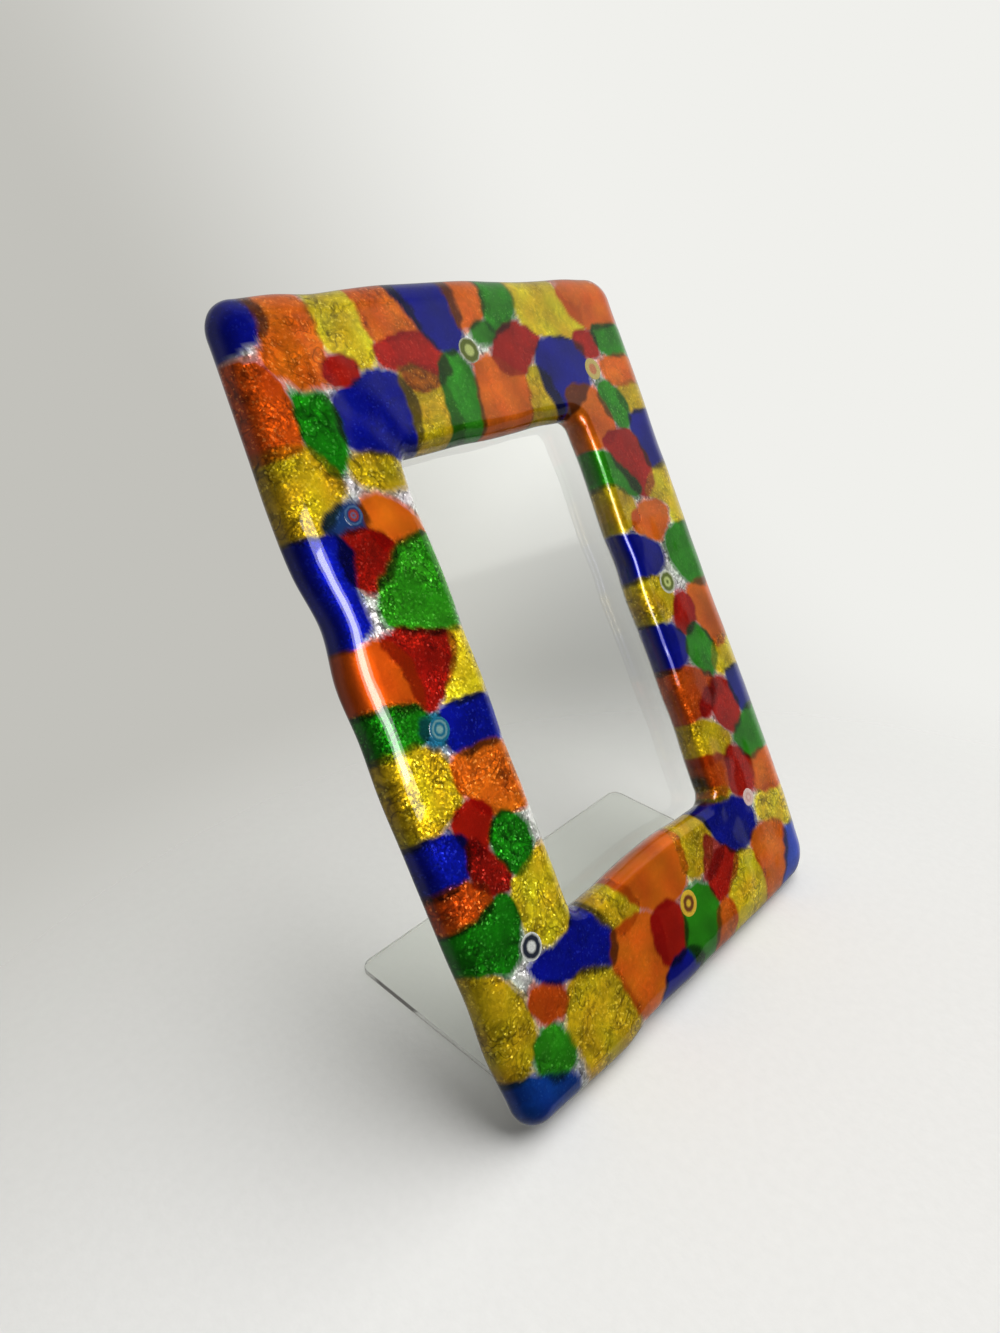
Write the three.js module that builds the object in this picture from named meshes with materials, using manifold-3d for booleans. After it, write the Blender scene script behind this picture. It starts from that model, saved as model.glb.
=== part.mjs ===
// A table picture frame of fused mosaic glass that leans on a bent clear acrylic easel.
// Units are millimetres. X runs along the width, Y to the back, +Z up.
// The origin lies on the table, at the middle of the easel's foot.
import * as THREE from "three";
import { mergeVertices } from "three/addons/utils/BufferGeometryUtils.js";
import Module from "manifold-3d";

const wasm = await Module();
wasm.setup();

// Glass frame
const frameWidth = 160;
const frameHeight = 228;
const stileWidth = 41.8;
const topRailWidth = 47.5;
const bottomRailWidth = 45.3;
const glassThickness = 8.5;
const baseThickness = 4;
const outerCornerRadius = 10;
const windowCornerRadius = 3.5;
const leanFromUpright = THREE.MathUtils.degToRad(29.9);

// Softened edges that the kiln leaves: quarter ellipses above the widest line, and a tuck under it
const widestLineHeight = 3;
const outerEdgeWidth = 9;
const outerFootWidth = 1.6;
const windowEdgeWidth = 5;
const windowFootWidth = 0.9;
const tuckShare = 0.3;
const tightestCorner = 0.6;

// Hand-laid outline: how far the edge stands out at even steps from corner to corner of a side
const outerRipple = {
  bottom: [-0.6, 0.2, 1.1, 1.4, -0.4, 0, 0.6, 0.5, 1.0, 1.0, 1.4, 1.4, 1.2],
  right: [1.4, 2.4, 2.5, 2.2, 1.8, 1.3, 0.6, 0, -0.1, 0, -0.3, -0.4, 0.1, -0.3, -0.8],
  top: [-0.6, 0, -0.2, -0.2, 0.3, 1.0, 1.0, 0.9, 0.8, 0.1, -0.7, -0.3, -1.0],
  left: [-0.7, 0, 0.8, 1.6, 1.5, -0.6, 1.6, 1.1, 1.6, 1.2, 0.9, 0.6, 0, 0.6, -0.8],
};
const windowRipple = {
  bottom: [0.8, 0.6, -0.3, -0.7, -0.5, 0.5, 1.0],
  right: [-0.2, 0, 0.6, 0.1, 0.2, -0.1, -0.6, 0.3, -0.4, 0.1, 0.5, 0],
  top: [0.4, 0.7, 0.2, -0.1, 0.1, -0.3, -0.6],
  left: [0, 0.4, -0.2, -0.5, -0.1, -0.4, -0.1, 0.4, 0.1, 0, 0, 0.1],
};

// Clearance that glass pieces keep to their neighbours and that the easel keeps to its strips
const seatGap = 0.3;

// Slices of patterned cane
const caneRadius = 3.6;

// Clear adhesive strips behind the glass: they leave the slot that the print slides into
const slotDepth = 1.1;
const stripWidth = 8;
const printWidth = 102;
const printClearance = 1;
const sideStripLength = 120;
const stripsAboveGlassFoot = 31;

// Easel: one acrylic sheet, bent
const sheetThickness = 2;
const easelWidth = 138;
const plateHeight = 203;
const footDepth = 77;
const bendRadius = 3;
const easelCornerRadius = 4;
const glassAboveTable = 0.6;

// How far a cutter reaches past what it cuts
const cutterReach = 1;

// Facets
const sidePoints = 20;
const edgeFacets = 4;
const cornerPoints = 5;
const patchSides = 14;
const bendFacets = 6;
const offcutFacets = 6;

// Tesserae, in the order they are laid: a later one lies over the ones before it.
// Each row is colour, place along and across its rail, length and breadth in percent, and tilt in degrees.
const mosaic = {
  top: [
    ["orange", 14, 66, 15, 74, 8],
    ["yellow", 26, 76, 20, 66, 12],
    ["green", 60, 74, 18, 62, 24],
    ["yellow", 77, 76, 20, 54, 0],
    ["orange", 92, 76, 18, 60, 0],
    ["yellow", 40, 20, 18, 58, 0],
    ["orange", 57, 30, 20, 80, 14],
    ["red", 37, 50, 21, 40, -14],
    ["blue", 46, 80, 15, 60, 4],
    ["blue", 26, 22, 18, 64, 0],
    ["blue", 76, 26, 18, 68, -10],
    ["blue", 4, 84, 14, 46, 0],
  ],
  left: [
    ["orange", 113, 10, 20, 56, 0],
    ["yellow", 96, 22, 20, 72, -8],
    ["green", 106, 54, 22, 42, 0],
    ["orange", 89, 80, 18, 50, 0],
    ["blue", 78, 14, 22, 60, 0],
    ["green", 74, 76, 23, 66, 6],
    ["orange", 60, 14, 20, 60, 0],
    ["red", 60, 66, 20, 64, 8],
    ["yellow", 40, 24, 28, 76, 0],
    ["orange", 33, 82, 20, 56, 0],
    ["blue", 47, 80, 14, 62, 0],
    ["yellow", 5, 84, 22, 50, 0],
    ["green", 8, 24, 20, 78, 6],
    ["green", 20, 80, 16, 56, -6],
    ["blue", 23, 22, 14, 74, 0],
  ],
  bottom: [
    ["yellow", 5, 68, 16, 76, 0],
    ["yellow", 25, 32, 24, 72, 0],
    ["orange", 40, 34, 18, 74, 0],
    ["orange", 53, 82, 34, 52, 0],
    ["green", 59, 30, 20, 64, -6],
    ["yellow", 75, 30, 21, 62, 4],
    ["orange", 90, 32, 18, 66, 0],
    ["blue", 24, 80, 24, 42, -18],
    ["blue", 6, 20, 18, 44, -14],
    ["blue", 97, 18, 12, 46, 20],
    ["blue", 79, 80, 23, 48, -28],
  ],
  right: [
    ["green", 105, 50, 17, 92, 0],
    ["red", 88, 32, 25, 74, 0],
    ["blue", 91, 82, 22, 48, 0],
    ["orange", 73, 54, 18, 100, 5],
    ["blue", 61, 18, 16, 72, 0],
    ["green", 59, 76, 19, 60, 0],
    ["yellow", 46, 20, 22, 72, 0],
    ["orange", 43, 78, 22, 60, 0],
    ["orange", 27, 26, 24, 80, 0],
    ["blue", 25, 82, 20, 48, 0],
    ["green", 8, 66, 19, 84, 0],
  ],
};

// Murrine: place along and across the rail in percent
const canes = {
  top: [[49.5, 54]],
  left: [[91, 43.5], [0, 53]],
  bottom: [[54, 49.5], [85, 82]],
  right: [[54.5, 35]],
};

const glassColours = {
  orange: 0xcd5f1e,
  red: 0xa51414,
  yellow: 0xcda519,
  green: 0x147814,
  blue: 0x0a1e96,
};

// Solids
function solidFrom(geometry) {
  const bare = geometry.clone();
  bare.deleteAttribute("normal");
  bare.deleteAttribute("uv");
  const merged = mergeVertices(bare, 1e-4);
  return new wasm.Manifold(
    new wasm.Mesh({
      numProp: 3,
      vertProperties: merged.attributes.position.array,
      triVerts: new Uint32Array(merged.index.array),
    }),
  );
}

function geometryFrom(solid) {
  const mesh = solid.getMesh();
  const geometry = new THREE.BufferGeometry();
  geometry.setAttribute("position", new THREE.BufferAttribute(mesh.vertProperties, 3));
  geometry.setIndex(new THREE.BufferAttribute(mesh.triVerts, 1));
  geometry.computeVertexNormals();
  return geometry;
}

// The overlying patches can cut a corner off a tessera: only its main body is laid
function mainBody(solid) {
  const bodies = solid.decompose();
  return bodies.reduce((best, body) => (body.volume() > best.volume() ? body : best));
}

function prism(points, fromHeight, toHeight) {
  const shape = new THREE.Shape(points);
  const geometry = new THREE.ExtrudeGeometry(shape, {
    depth: toHeight - fromHeight,
    bevelEnabled: false,
  });
  geometry.translate(0, 0, fromHeight);
  return solidFrom(geometry);
}

function rippleAt(offsets, share) {
  const points = offsets.map((offset, i) => new THREE.Vector2(i / (offsets.length - 1), offset));
  return new THREE.SplineCurve(points).getPoint(share).y;
}

// A rounded rectangle whose sides wander by their ripples, counter-clockwise from the bottom
// left; grow moves the whole outline outwards, and its corners turn wider with it
function wanderingOutline({ width, height, centre, radius, ripple, grow }) {
  const round = Math.max(radius + grow, tightestCorner);
  const halfWidth = width / 2 + grow - round;
  const halfHeight = height / 2 + grow - round;
  const [right, up] = [new THREE.Vector2(1, 0), new THREE.Vector2(0, 1)];
  const [left, down] = [right.clone().negate(), up.clone().negate()];
  const sides = [
    { name: "bottom", next: "right", from: [-halfWidth, -halfHeight], along: right, out: down, span: halfWidth * 2 },
    { name: "right", next: "top", from: [halfWidth, -halfHeight], along: up, out: right, span: halfHeight * 2 },
    { name: "top", next: "left", from: [halfWidth, halfHeight], along: left, out: up, span: halfWidth * 2 },
    { name: "left", next: "bottom", from: [-halfWidth, halfHeight], along: down, out: left, span: halfHeight * 2 },
  ];
  const points = [];
  for (const { name, next, from, along, out, span } of sides) {
    const start = new THREE.Vector2(...from).add(centre);
    for (let i = 0; i < sidePoints; i++) {
      const share = i / sidePoints;
      const away = round + rippleAt(ripple[name], share);
      points.push(start.clone().addScaledVector(along, share * span).addScaledVector(out, away));
    }
    const corner = start.clone().addScaledVector(along, span);
    for (let i = 0; i < cornerPoints; i++) {
      const share = i / cornerPoints;
      const away = round + THREE.MathUtils.lerp(ripple[name].at(-1), ripple[next][0], share);
      const turned = out.clone().rotateAround(new THREE.Vector2(), (share * Math.PI) / 2);
      points.push(corner.clone().addScaledVector(turned, away));
    }
  }
  return points;
}

const windowWidth = frameWidth - 2 * stileWidth;
const windowHeight = frameHeight - topRailWidth - bottomRailWidth;
const frameCentre = new THREE.Vector2(0, frameHeight / 2);
const windowCentre = new THREE.Vector2(0, bottomRailWidth + windowHeight / 2);

const outerOutline = (inset) =>
  wanderingOutline({
    width: frameWidth,
    height: frameHeight,
    centre: frameCentre,
    radius: outerCornerRadius,
    ripple: outerRipple,
    grow: -inset,
  });

const windowOutline = (inset) =>
  wanderingOutline({
    width: windowWidth,
    height: windowHeight,
    centre: windowCentre,
    radius: windowCornerRadius,
    ripple: windowRipple,
    grow: inset,
  });

// Section of the glass from its back, round the outer edge, over the crown and down the window
function sectionLoops() {
  const quarter = (outline, width) =>
    Array.from({ length: edgeFacets + 1 }, (_, i) => {
      const angle = (i / edgeFacets) * (Math.PI / 2);
      return {
        points: outline(width * (1 - Math.cos(angle))),
        height: widestLineHeight + (glassThickness - widestLineHeight) * Math.sin(angle),
      };
    });
  const under = (outline, width) => [
    { points: outline(width), height: 0 },
    { points: outline(width * tuckShare), height: widestLineHeight * tuckShare },
  ];
  return [
    ...under(outerOutline, outerFootWidth),
    ...quarter(outerOutline, outerEdgeWidth),
    ...quarter(windowOutline, windowEdgeWidth).reverse(),
    ...under(windowOutline, windowFootWidth).reverse(),
  ];
}

// The whole fused glass ring: outlines skinned in turn and closed round the section
function glassRing() {
  const loops = sectionLoops();
  const count = loops[0].points.length;
  const positions = loops.flatMap(({ points, height }) => points.flatMap((p) => [p.x, p.y, height]));
  const index = [];
  loops.forEach((_, i) => {
    const next = (i + 1) % loops.length;
    for (let j = 0; j < count; j++) {
      const k = (j + 1) % count;
      const [a, b, c, d] = [i * count + j, i * count + k, next * count + k, next * count + j];
      index.push(a, b, c, a, c, d);
    }
  });
  const geometry = new THREE.BufferGeometry();
  geometry.setAttribute("position", new THREE.Float32BufferAttribute(positions, 3));
  geometry.setIndex(index);
  return solidFrom(geometry);
}

// A softly squared patch, as cut glass is after it has slumped
function patchOutline({ x, y, length, breadth, tilt, grow, squareness = 2.8 }) {
  return Array.from({ length: patchSides }, (_, i) => {
    const angle = (i / patchSides) * 2 * Math.PI;
    const softened = (value, half) =>
      Math.sign(value) * Math.abs(value) ** (2 / squareness) * (half + grow);
    return new THREE.Vector2(softened(Math.cos(angle), length / 2), softened(Math.sin(angle), breadth / 2))
      .rotateAround(new THREE.Vector2(), THREE.MathUtils.degToRad(tilt))
      .add(new THREE.Vector2(x, y));
  });
}

// Where a place along and across a rail lies on the glass
const rails = {
  top: { x: -frameWidth / 2, y: frameHeight - topRailWidth, width: frameWidth, height: topRailWidth },
  bottom: { x: -frameWidth / 2, y: 0, width: frameWidth, height: bottomRailWidth },
  left: { x: -frameWidth / 2, y: bottomRailWidth, width: stileWidth, height: windowHeight },
  right: { x: frameWidth / 2 - stileWidth, y: bottomRailWidth, width: stileWidth, height: windowHeight },
};

function placeOnRail(railName, along, across) {
  const rail = rails[railName];
  const upright = railName === "left" || railName === "right";
  const [shareX, shareY] = (upright ? [across, along] : [along, across]).map((percent) => percent / 100);
  return { x: rail.x + shareX * rail.width, y: rail.y + shareY * rail.height, upright, rail };
}

function tesseraPatch(railName, [, along, across, length, breadth, tilt]) {
  const { x, y, upright, rail } = placeOnRail(railName, along, across);
  const [wide, high] = upright ? [breadth, length] : [length, breadth];
  return { x, y, length: (wide / 100) * rail.width, breadth: (high / 100) * rail.height, tilt };
}

function canePatch(railName, [along, across]) {
  const { x, y } = placeOnRail(railName, along, across);
  return { x, y, length: 2 * caneRadius, breadth: 2 * caneRadius, tilt: 0, squareness: 2 };
}

const colourOf = (hex, roughness = 0.08) =>
  new THREE.MeshStandardMaterial({ color: hex, roughness, metalness: 0 });

const clearGlass = () =>
  new THREE.MeshStandardMaterial({ color: 0xdfe3dc, roughness: 0.06, metalness: 0 });

const clearAcrylic = () =>
  new THREE.MeshStandardMaterial({
    color: 0xe9efee,
    roughness: 0.03,
    metalness: 0,
    transparent: true,
    opacity: 0.35,
  });

function namedMesh(name, geometry, material) {
  const mesh = new THREE.Mesh(geometry, material);
  mesh.name = name;
  return mesh;
}

// The ring is cut into its base and the pieces seated in it, the last laid first
function fusedGlass() {
  const ring = glassRing();
  const above = glassThickness + cutterReach;
  const laid = [];
  for (const [railName, rows] of Object.entries(mosaic))
    rows.forEach((row, i) =>
      laid.push({
        name: `tessera_${railName}_${i + 1}_${row[0]}`,
        patch: tesseraPatch(railName, row),
        material: colourOf(glassColours[row[0]]),
      }),
    );
  for (const [railName, rows] of Object.entries(canes))
    rows.forEach((row, i) =>
      laid.push({
        name: `murrina_${railName}_${i + 1}`,
        patch: canePatch(railName, row),
        material: colourOf(0xd9d8c0),
      }),
    );

  let base = ring;
  let covered = null;
  const meshes = [];
  for (const { name, patch, material } of laid.reverse()) {
    const seat = prism(patchOutline({ ...patch, grow: seatGap }), baseThickness, above);
    let piece = prism(patchOutline({ ...patch, grow: 0 }), baseThickness + seatGap, above).intersect(ring);
    if (covered) piece = piece.subtract(covered);
    meshes.push(namedMesh(name, geometryFrom(mainBody(piece)), material));
    covered = covered ? covered.add(seat) : seat;
    base = base.subtract(seat);
  }
  meshes.push(namedMesh("glass_base", geometryFrom(mainBody(base)), clearGlass()));
  return meshes.reverse();
}

// Strips on the back of the glass, on both sides of the print and under it
function adhesiveStrips() {
  const thickness = slotDepth - 2 * seatGap;
  const printHalf = printWidth / 2 + printClearance;
  const strip = (name, width, height, x, y) => {
    const geometry = new THREE.BoxGeometry(width, height, thickness);
    geometry.translate(x, y, -slotDepth / 2);
    return namedMesh(name, geometry, clearAcrylic());
  };
  const sideX = printHalf + stripWidth / 2;
  const bottomY = stripsAboveGlassFoot + stripWidth / 2;
  const sideY = stripsAboveGlassFoot + stripWidth + printClearance + sideStripLength / 2;
  return [
    strip("strip_left", stripWidth, sideStripLength, -sideX, sideY),
    strip("strip_right", stripWidth, sideStripLength, sideX, sideY),
    strip("strip_bottom", printWidth, stripWidth, 0, bottomY),
  ];
}

// The glass leans about the line where its back meets its foot
const leaning = new THREE.Group();
leaning.rotation.x = Math.PI / 2 - leanFromUpright;
leaning.add(...fusedGlass(), ...adhesiveStrips());

// Side view of the easel in the YZ plane: foot flat on the table, tight bend, leaning plate.
// The plate's front face lies the slot's depth behind the glass.
const plateFrontAtTable = slotDepth / Math.cos(leanFromUpright) - glassAboveTable * Math.tan(leanFromUpright);

function easelSideView() {
  const outerRadius = bendRadius + sheetThickness;
  const opening = Math.PI / 2 - leanFromUpright;
  const tangentLength = outerRadius / Math.tan(opening / 2);
  const centre = new THREE.Vector2(plateFrontAtTable + tangentLength, outerRadius);
  const around = (radius, angle) =>
    new THREE.Vector2(centre.x + radius * Math.cos(angle), centre.y + radius * Math.sin(angle));
  const footAngle = -Math.PI / 2;
  const plateAngle = footAngle - (Math.PI - opening);
  const angles = Array.from(
    { length: bendFacets + 1 },
    (_, i) => footAngle + ((plateAngle - footAngle) * i) / bendFacets,
  );
  const upPlate = new THREE.Vector2(Math.cos(opening), Math.sin(opening));
  const plateRun = plateHeight - tangentLength;
  const outerTop = around(outerRadius, plateAngle).addScaledVector(upPlate, plateRun);
  const innerTop = around(bendRadius, plateAngle).addScaledVector(upPlate, plateRun);
  return new THREE.Shape([
    new THREE.Vector2(footDepth, 0),
    ...angles.map((angle) => around(outerRadius, angle)),
    outerTop,
    innerTop,
    ...angles.reverse().map((angle) => around(bendRadius, angle)),
    new THREE.Vector2(footDepth, sheetThickness),
  ]);
}

// What a rounded corner takes off a square one, as a prism with its hollow side inwards
function cornerOffcut(thickness) {
  const shape = new THREE.Shape();
  shape.moveTo(-cutterReach, cutterReach);
  shape.lineTo(-cutterReach, -easelCornerRadius);
  shape.lineTo(0, -easelCornerRadius);
  shape.absarc(easelCornerRadius, -easelCornerRadius, easelCornerRadius, Math.PI, Math.PI / 2, true);
  shape.lineTo(easelCornerRadius, cutterReach);
  const geometry = new THREE.ExtrudeGeometry(shape, {
    depth: thickness,
    bevelEnabled: false,
    curveSegments: offcutFacets,
  });
  return geometry.translate(0, 0, -thickness / 2);
}

function easel() {
  const geometry = new THREE.ExtrudeGeometry(easelSideView(), { depth: easelWidth, bevelEnabled: false });
  // The side view's own X and Y become Y and Z, and its depth runs along X
  geometry.applyMatrix4(
    new THREE.Matrix4().makeBasis(
      new THREE.Vector3(0, 1, 0),
      new THREE.Vector3(0, 0, 1),
      new THREE.Vector3(1, 0, 0),
    ),
  );
  geometry.translate(-easelWidth / 2, 0, 0);
  let solid = solidFrom(geometry);
  const cutThickness = 2 * (sheetThickness + cutterReach);
  const opening = Math.PI / 2 - leanFromUpright;
  const plateTop = new THREE.Vector3(
    -easelWidth / 2,
    plateFrontAtTable + plateHeight * Math.cos(opening),
    plateHeight * Math.sin(opening),
  );
  const corners = [
    { at: plateTop, upwards: opening },
    { at: new THREE.Vector3(-easelWidth / 2, footDepth, sheetThickness / 2), upwards: 0 },
  ];
  for (const { at, upwards } of corners)
    for (const side of [1, -1]) {
      const offcut = cornerOffcut(cutThickness);
      offcut.rotateX(upwards);
      offcut.translate(at.x, at.y, at.z);
      if (side < 0) mirrorAcross(offcut);
      solid = solid.subtract(solidFrom(offcut));
    }
  return namedMesh("easel", geometryFrom(solid), clearAcrylic());
}

// Mirrors a geometry left to right and keeps its faces pointing out
function mirrorAcross(geometry) {
  geometry.scale(-1, 1, 1);
  const bare = geometry.index ? geometry.toNonIndexed() : geometry;
  const position = bare.attributes.position;
  for (let i = 0; i < position.count; i += 3) {
    const [a, b] = [new THREE.Vector3(), new THREE.Vector3()];
    a.fromBufferAttribute(position, i);
    b.fromBufferAttribute(position, i + 1);
    position.setXYZ(i, b.x, b.y, b.z);
    position.setXYZ(i + 1, a.x, a.y, a.z);
  }
  return geometry;
}

const frame = new THREE.Group();
leaning.position.set(0, 0, glassAboveTable);
frame.add(leaning, easel());
frame.position.y = -footDepth / 2;

const picture = new THREE.Group();
picture.add(frame);

export default picture;
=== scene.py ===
import math

import bmesh
import bpy
import numpy as np
from bpy.props import FloatProperty, FloatVectorProperty, IntProperty, PointerProperty
from mathutils import Matrix, Vector, noise


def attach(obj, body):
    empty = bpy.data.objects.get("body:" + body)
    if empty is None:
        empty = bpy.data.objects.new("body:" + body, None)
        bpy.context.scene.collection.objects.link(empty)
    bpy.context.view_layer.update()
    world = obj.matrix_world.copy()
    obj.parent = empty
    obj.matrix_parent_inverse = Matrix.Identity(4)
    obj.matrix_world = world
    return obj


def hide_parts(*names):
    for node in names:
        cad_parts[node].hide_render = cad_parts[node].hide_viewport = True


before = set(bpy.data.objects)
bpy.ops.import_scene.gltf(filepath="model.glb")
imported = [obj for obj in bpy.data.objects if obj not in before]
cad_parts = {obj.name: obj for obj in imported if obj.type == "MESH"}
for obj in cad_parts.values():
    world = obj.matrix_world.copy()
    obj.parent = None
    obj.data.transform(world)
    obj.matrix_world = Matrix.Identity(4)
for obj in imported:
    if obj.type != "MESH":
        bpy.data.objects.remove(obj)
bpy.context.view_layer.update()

# A table picture frame of fused mosaic glass on a bent clear acrylic easel.
# Blender works in metres. Sizes that belong to the drawing are written in millimetres
# and pass through MM. The glass has its own face frame: x across from its left edge,
# v up along the face from its foot, n out of the back towards the front.

bl_info = {
    "name": "Mosaic Glass Picture Frame",
    "version": (1, 0, 0),
    "blender": (4, 5, 0),
    "location": "View3D > Sidebar > Glass Frame",
    "description": "Builds a fused mosaic glass picture frame on its acrylic easel",
    "category": "Object",
}

MM = 0.001


# Settings


class GlassSettings(bpy.types.PropertyGroup):
    width: FloatProperty(
        name="Width", description="Width of the glass", default=160 * MM, unit="LENGTH", subtype="DISTANCE"
    )
    height: FloatProperty(
        name="Height",
        description="Height of the glass along its face",
        default=228 * MM,
        unit="LENGTH",
        subtype="DISTANCE",
    )
    stile: FloatProperty(
        name="Stile",
        description="Width of the two upright borders",
        default=41.8 * MM,
        unit="LENGTH",
        subtype="DISTANCE",
    )
    top_rail: FloatProperty(
        name="Top rail",
        description="Width of the top border",
        default=47.5 * MM,
        unit="LENGTH",
        subtype="DISTANCE",
    )
    bottom_rail: FloatProperty(
        name="Bottom rail",
        description="Width of the bottom border",
        default=45.3 * MM,
        unit="LENGTH",
        subtype="DISTANCE",
    )
    thickness: FloatProperty(
        name="Thickness",
        description="Thickness of the fused glass",
        default=8.5 * MM,
        unit="LENGTH",
        subtype="DISTANCE",
    )
    widest: FloatProperty(
        name="Widest line",
        description="Height of the widest line above the back",
        default=3 * MM,
        unit="LENGTH",
        subtype="DISTANCE",
    )
    outer_edge: FloatProperty(
        name="Outer edge",
        description="Width of the rounded outer edge",
        default=9 * MM,
        unit="LENGTH",
        subtype="DISTANCE",
    )
    window_edge: FloatProperty(
        name="Window edge",
        description="Width of the rounded edge at the window",
        default=5 * MM,
        unit="LENGTH",
        subtype="DISTANCE",
    )
    outer_corner: FloatProperty(
        name="Outer corner",
        description="Radius of the outer corners",
        default=10 * MM,
        unit="LENGTH",
        subtype="DISTANCE",
    )
    window_corner: FloatProperty(
        name="Window corner",
        description="Radius of the window's corners",
        default=3.5 * MM,
        unit="LENGTH",
        subtype="DISTANCE",
    )
    lean: FloatProperty(
        name="Lean",
        description="How far the glass leans back from upright",
        default=math.radians(29.9),
        unit="ROTATION",
        subtype="ANGLE",
    )
    above_table: FloatProperty(
        name="Above table",
        description="How far the foot of the glass stays off the table",
        default=0.6 * MM,
        unit="LENGTH",
        subtype="DISTANCE",
    )
    swell: FloatProperty(
        name="Swell",
        description="How far the melted surface rises and falls",
        default=0.16 * MM,
        unit="LENGTH",
        subtype="DISTANCE",
    )
    soft_edge: FloatProperty(
        name="Soft edge",
        description="Half width of the blurred edge of a patch",
        default=0.6 * MM,
        unit="LENGTH",
        subtype="DISTANCE",
    )


class MurrinaSettings(bpy.types.PropertyGroup):
    segments: IntProperty(name="Segments", description="Points round a slice of cane", default=48)
    rings: IntProperty(name="Rings", description="Rings of faces from the rim to the middle", default=16)
    proud: FloatProperty(
        name="Proud",
        description="How far a slice stands above the glass",
        default=0.05 * MM,
        unit="LENGTH",
        subtype="DISTANCE",
    )


class EaselSettings(bpy.types.PropertyGroup):
    sheet: FloatProperty(
        name="Sheet",
        description="Thickness of the acrylic sheet",
        default=2 * MM,
        unit="LENGTH",
        subtype="DISTANCE",
    )
    width: FloatProperty(
        name="Width", description="Width of the sheet", default=138 * MM, unit="LENGTH", subtype="DISTANCE"
    )
    plate: FloatProperty(
        name="Plate",
        description="Height of the plate along its face",
        default=203 * MM,
        unit="LENGTH",
        subtype="DISTANCE",
    )
    foot: FloatProperty(
        name="Foot",
        description="Depth of the foot behind the glass",
        default=77 * MM,
        unit="LENGTH",
        subtype="DISTANCE",
    )
    bend: FloatProperty(
        name="Bend", description="Inner radius of the bend", default=3 * MM, unit="LENGTH", subtype="DISTANCE"
    )
    corner: FloatProperty(
        name="Corner",
        description="Radius of the sheet's corners",
        default=4 * MM,
        unit="LENGTH",
        subtype="DISTANCE",
    )
    polish: FloatProperty(
        name="Polish",
        description="Width of the flame-polished rim",
        default=0.35 * MM,
        unit="LENGTH",
        subtype="DISTANCE",
    )
    slot: FloatProperty(
        name="Slot",
        description="Depth of the slot that takes the print",
        default=1.1 * MM,
        unit="LENGTH",
        subtype="DISTANCE",
    )


class StageSettings(bpy.types.PropertyGroup):
    floor_colour: FloatVectorProperty(
        name="Floor", description="Colour of the floor", subtype="COLOR", size=3, default=(0.74, 0.735, 0.715)
    )
    overhead: FloatProperty(
        name="Overhead light", description="Strength of the broad light from above", default=3.3
    )
    streak_light: FloatProperty(
        name="Streak light", description="Power of the small panel in front", default=0.3
    )
    bright_side: FloatProperty(
        name="Bright side", description="Strength of the room on its bright side", default=0.8
    )
    bright_wall: FloatProperty(
        name="Bright wall", description="Strength of the wall the face mirrors", default=0.48
    )
    right_wall: FloatProperty(
        name="Right wall", description="Strength of the wall that the right border mirrors", default=0.3
    )
    # Strength of the painted reflection of the bright wall in the clear sheet
    sheet_painted_mirror: FloatProperty(
        name="Sheet mirror",
        description="How much brighter the clear sheet mirrors that wall",
        default=4.6,
    )
    # Strength of the painted shade on what is seen through the right of the clear sheet
    sheet_painted_shade: FloatProperty(
        name="Sheet shade",
        description="Share of the backdrop's light that is lost on the right of the clear sheet",
        default=0.42,
    )
    pale_walls: FloatProperty(name="Pale walls", description="Strength of the walls all round", default=0.33)
    dark_side: FloatProperty(
        name="Dark side", description="Strength of the room on its dark side", default=0.03
    )


# Mosaic of the glass, in millimetres on its face.
# Each row is the colour, how strongly the leaf under it glitters, and the outline.
# Later rows are as transparent as earlier ones, so where two overlap both tint the leaf.

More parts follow.
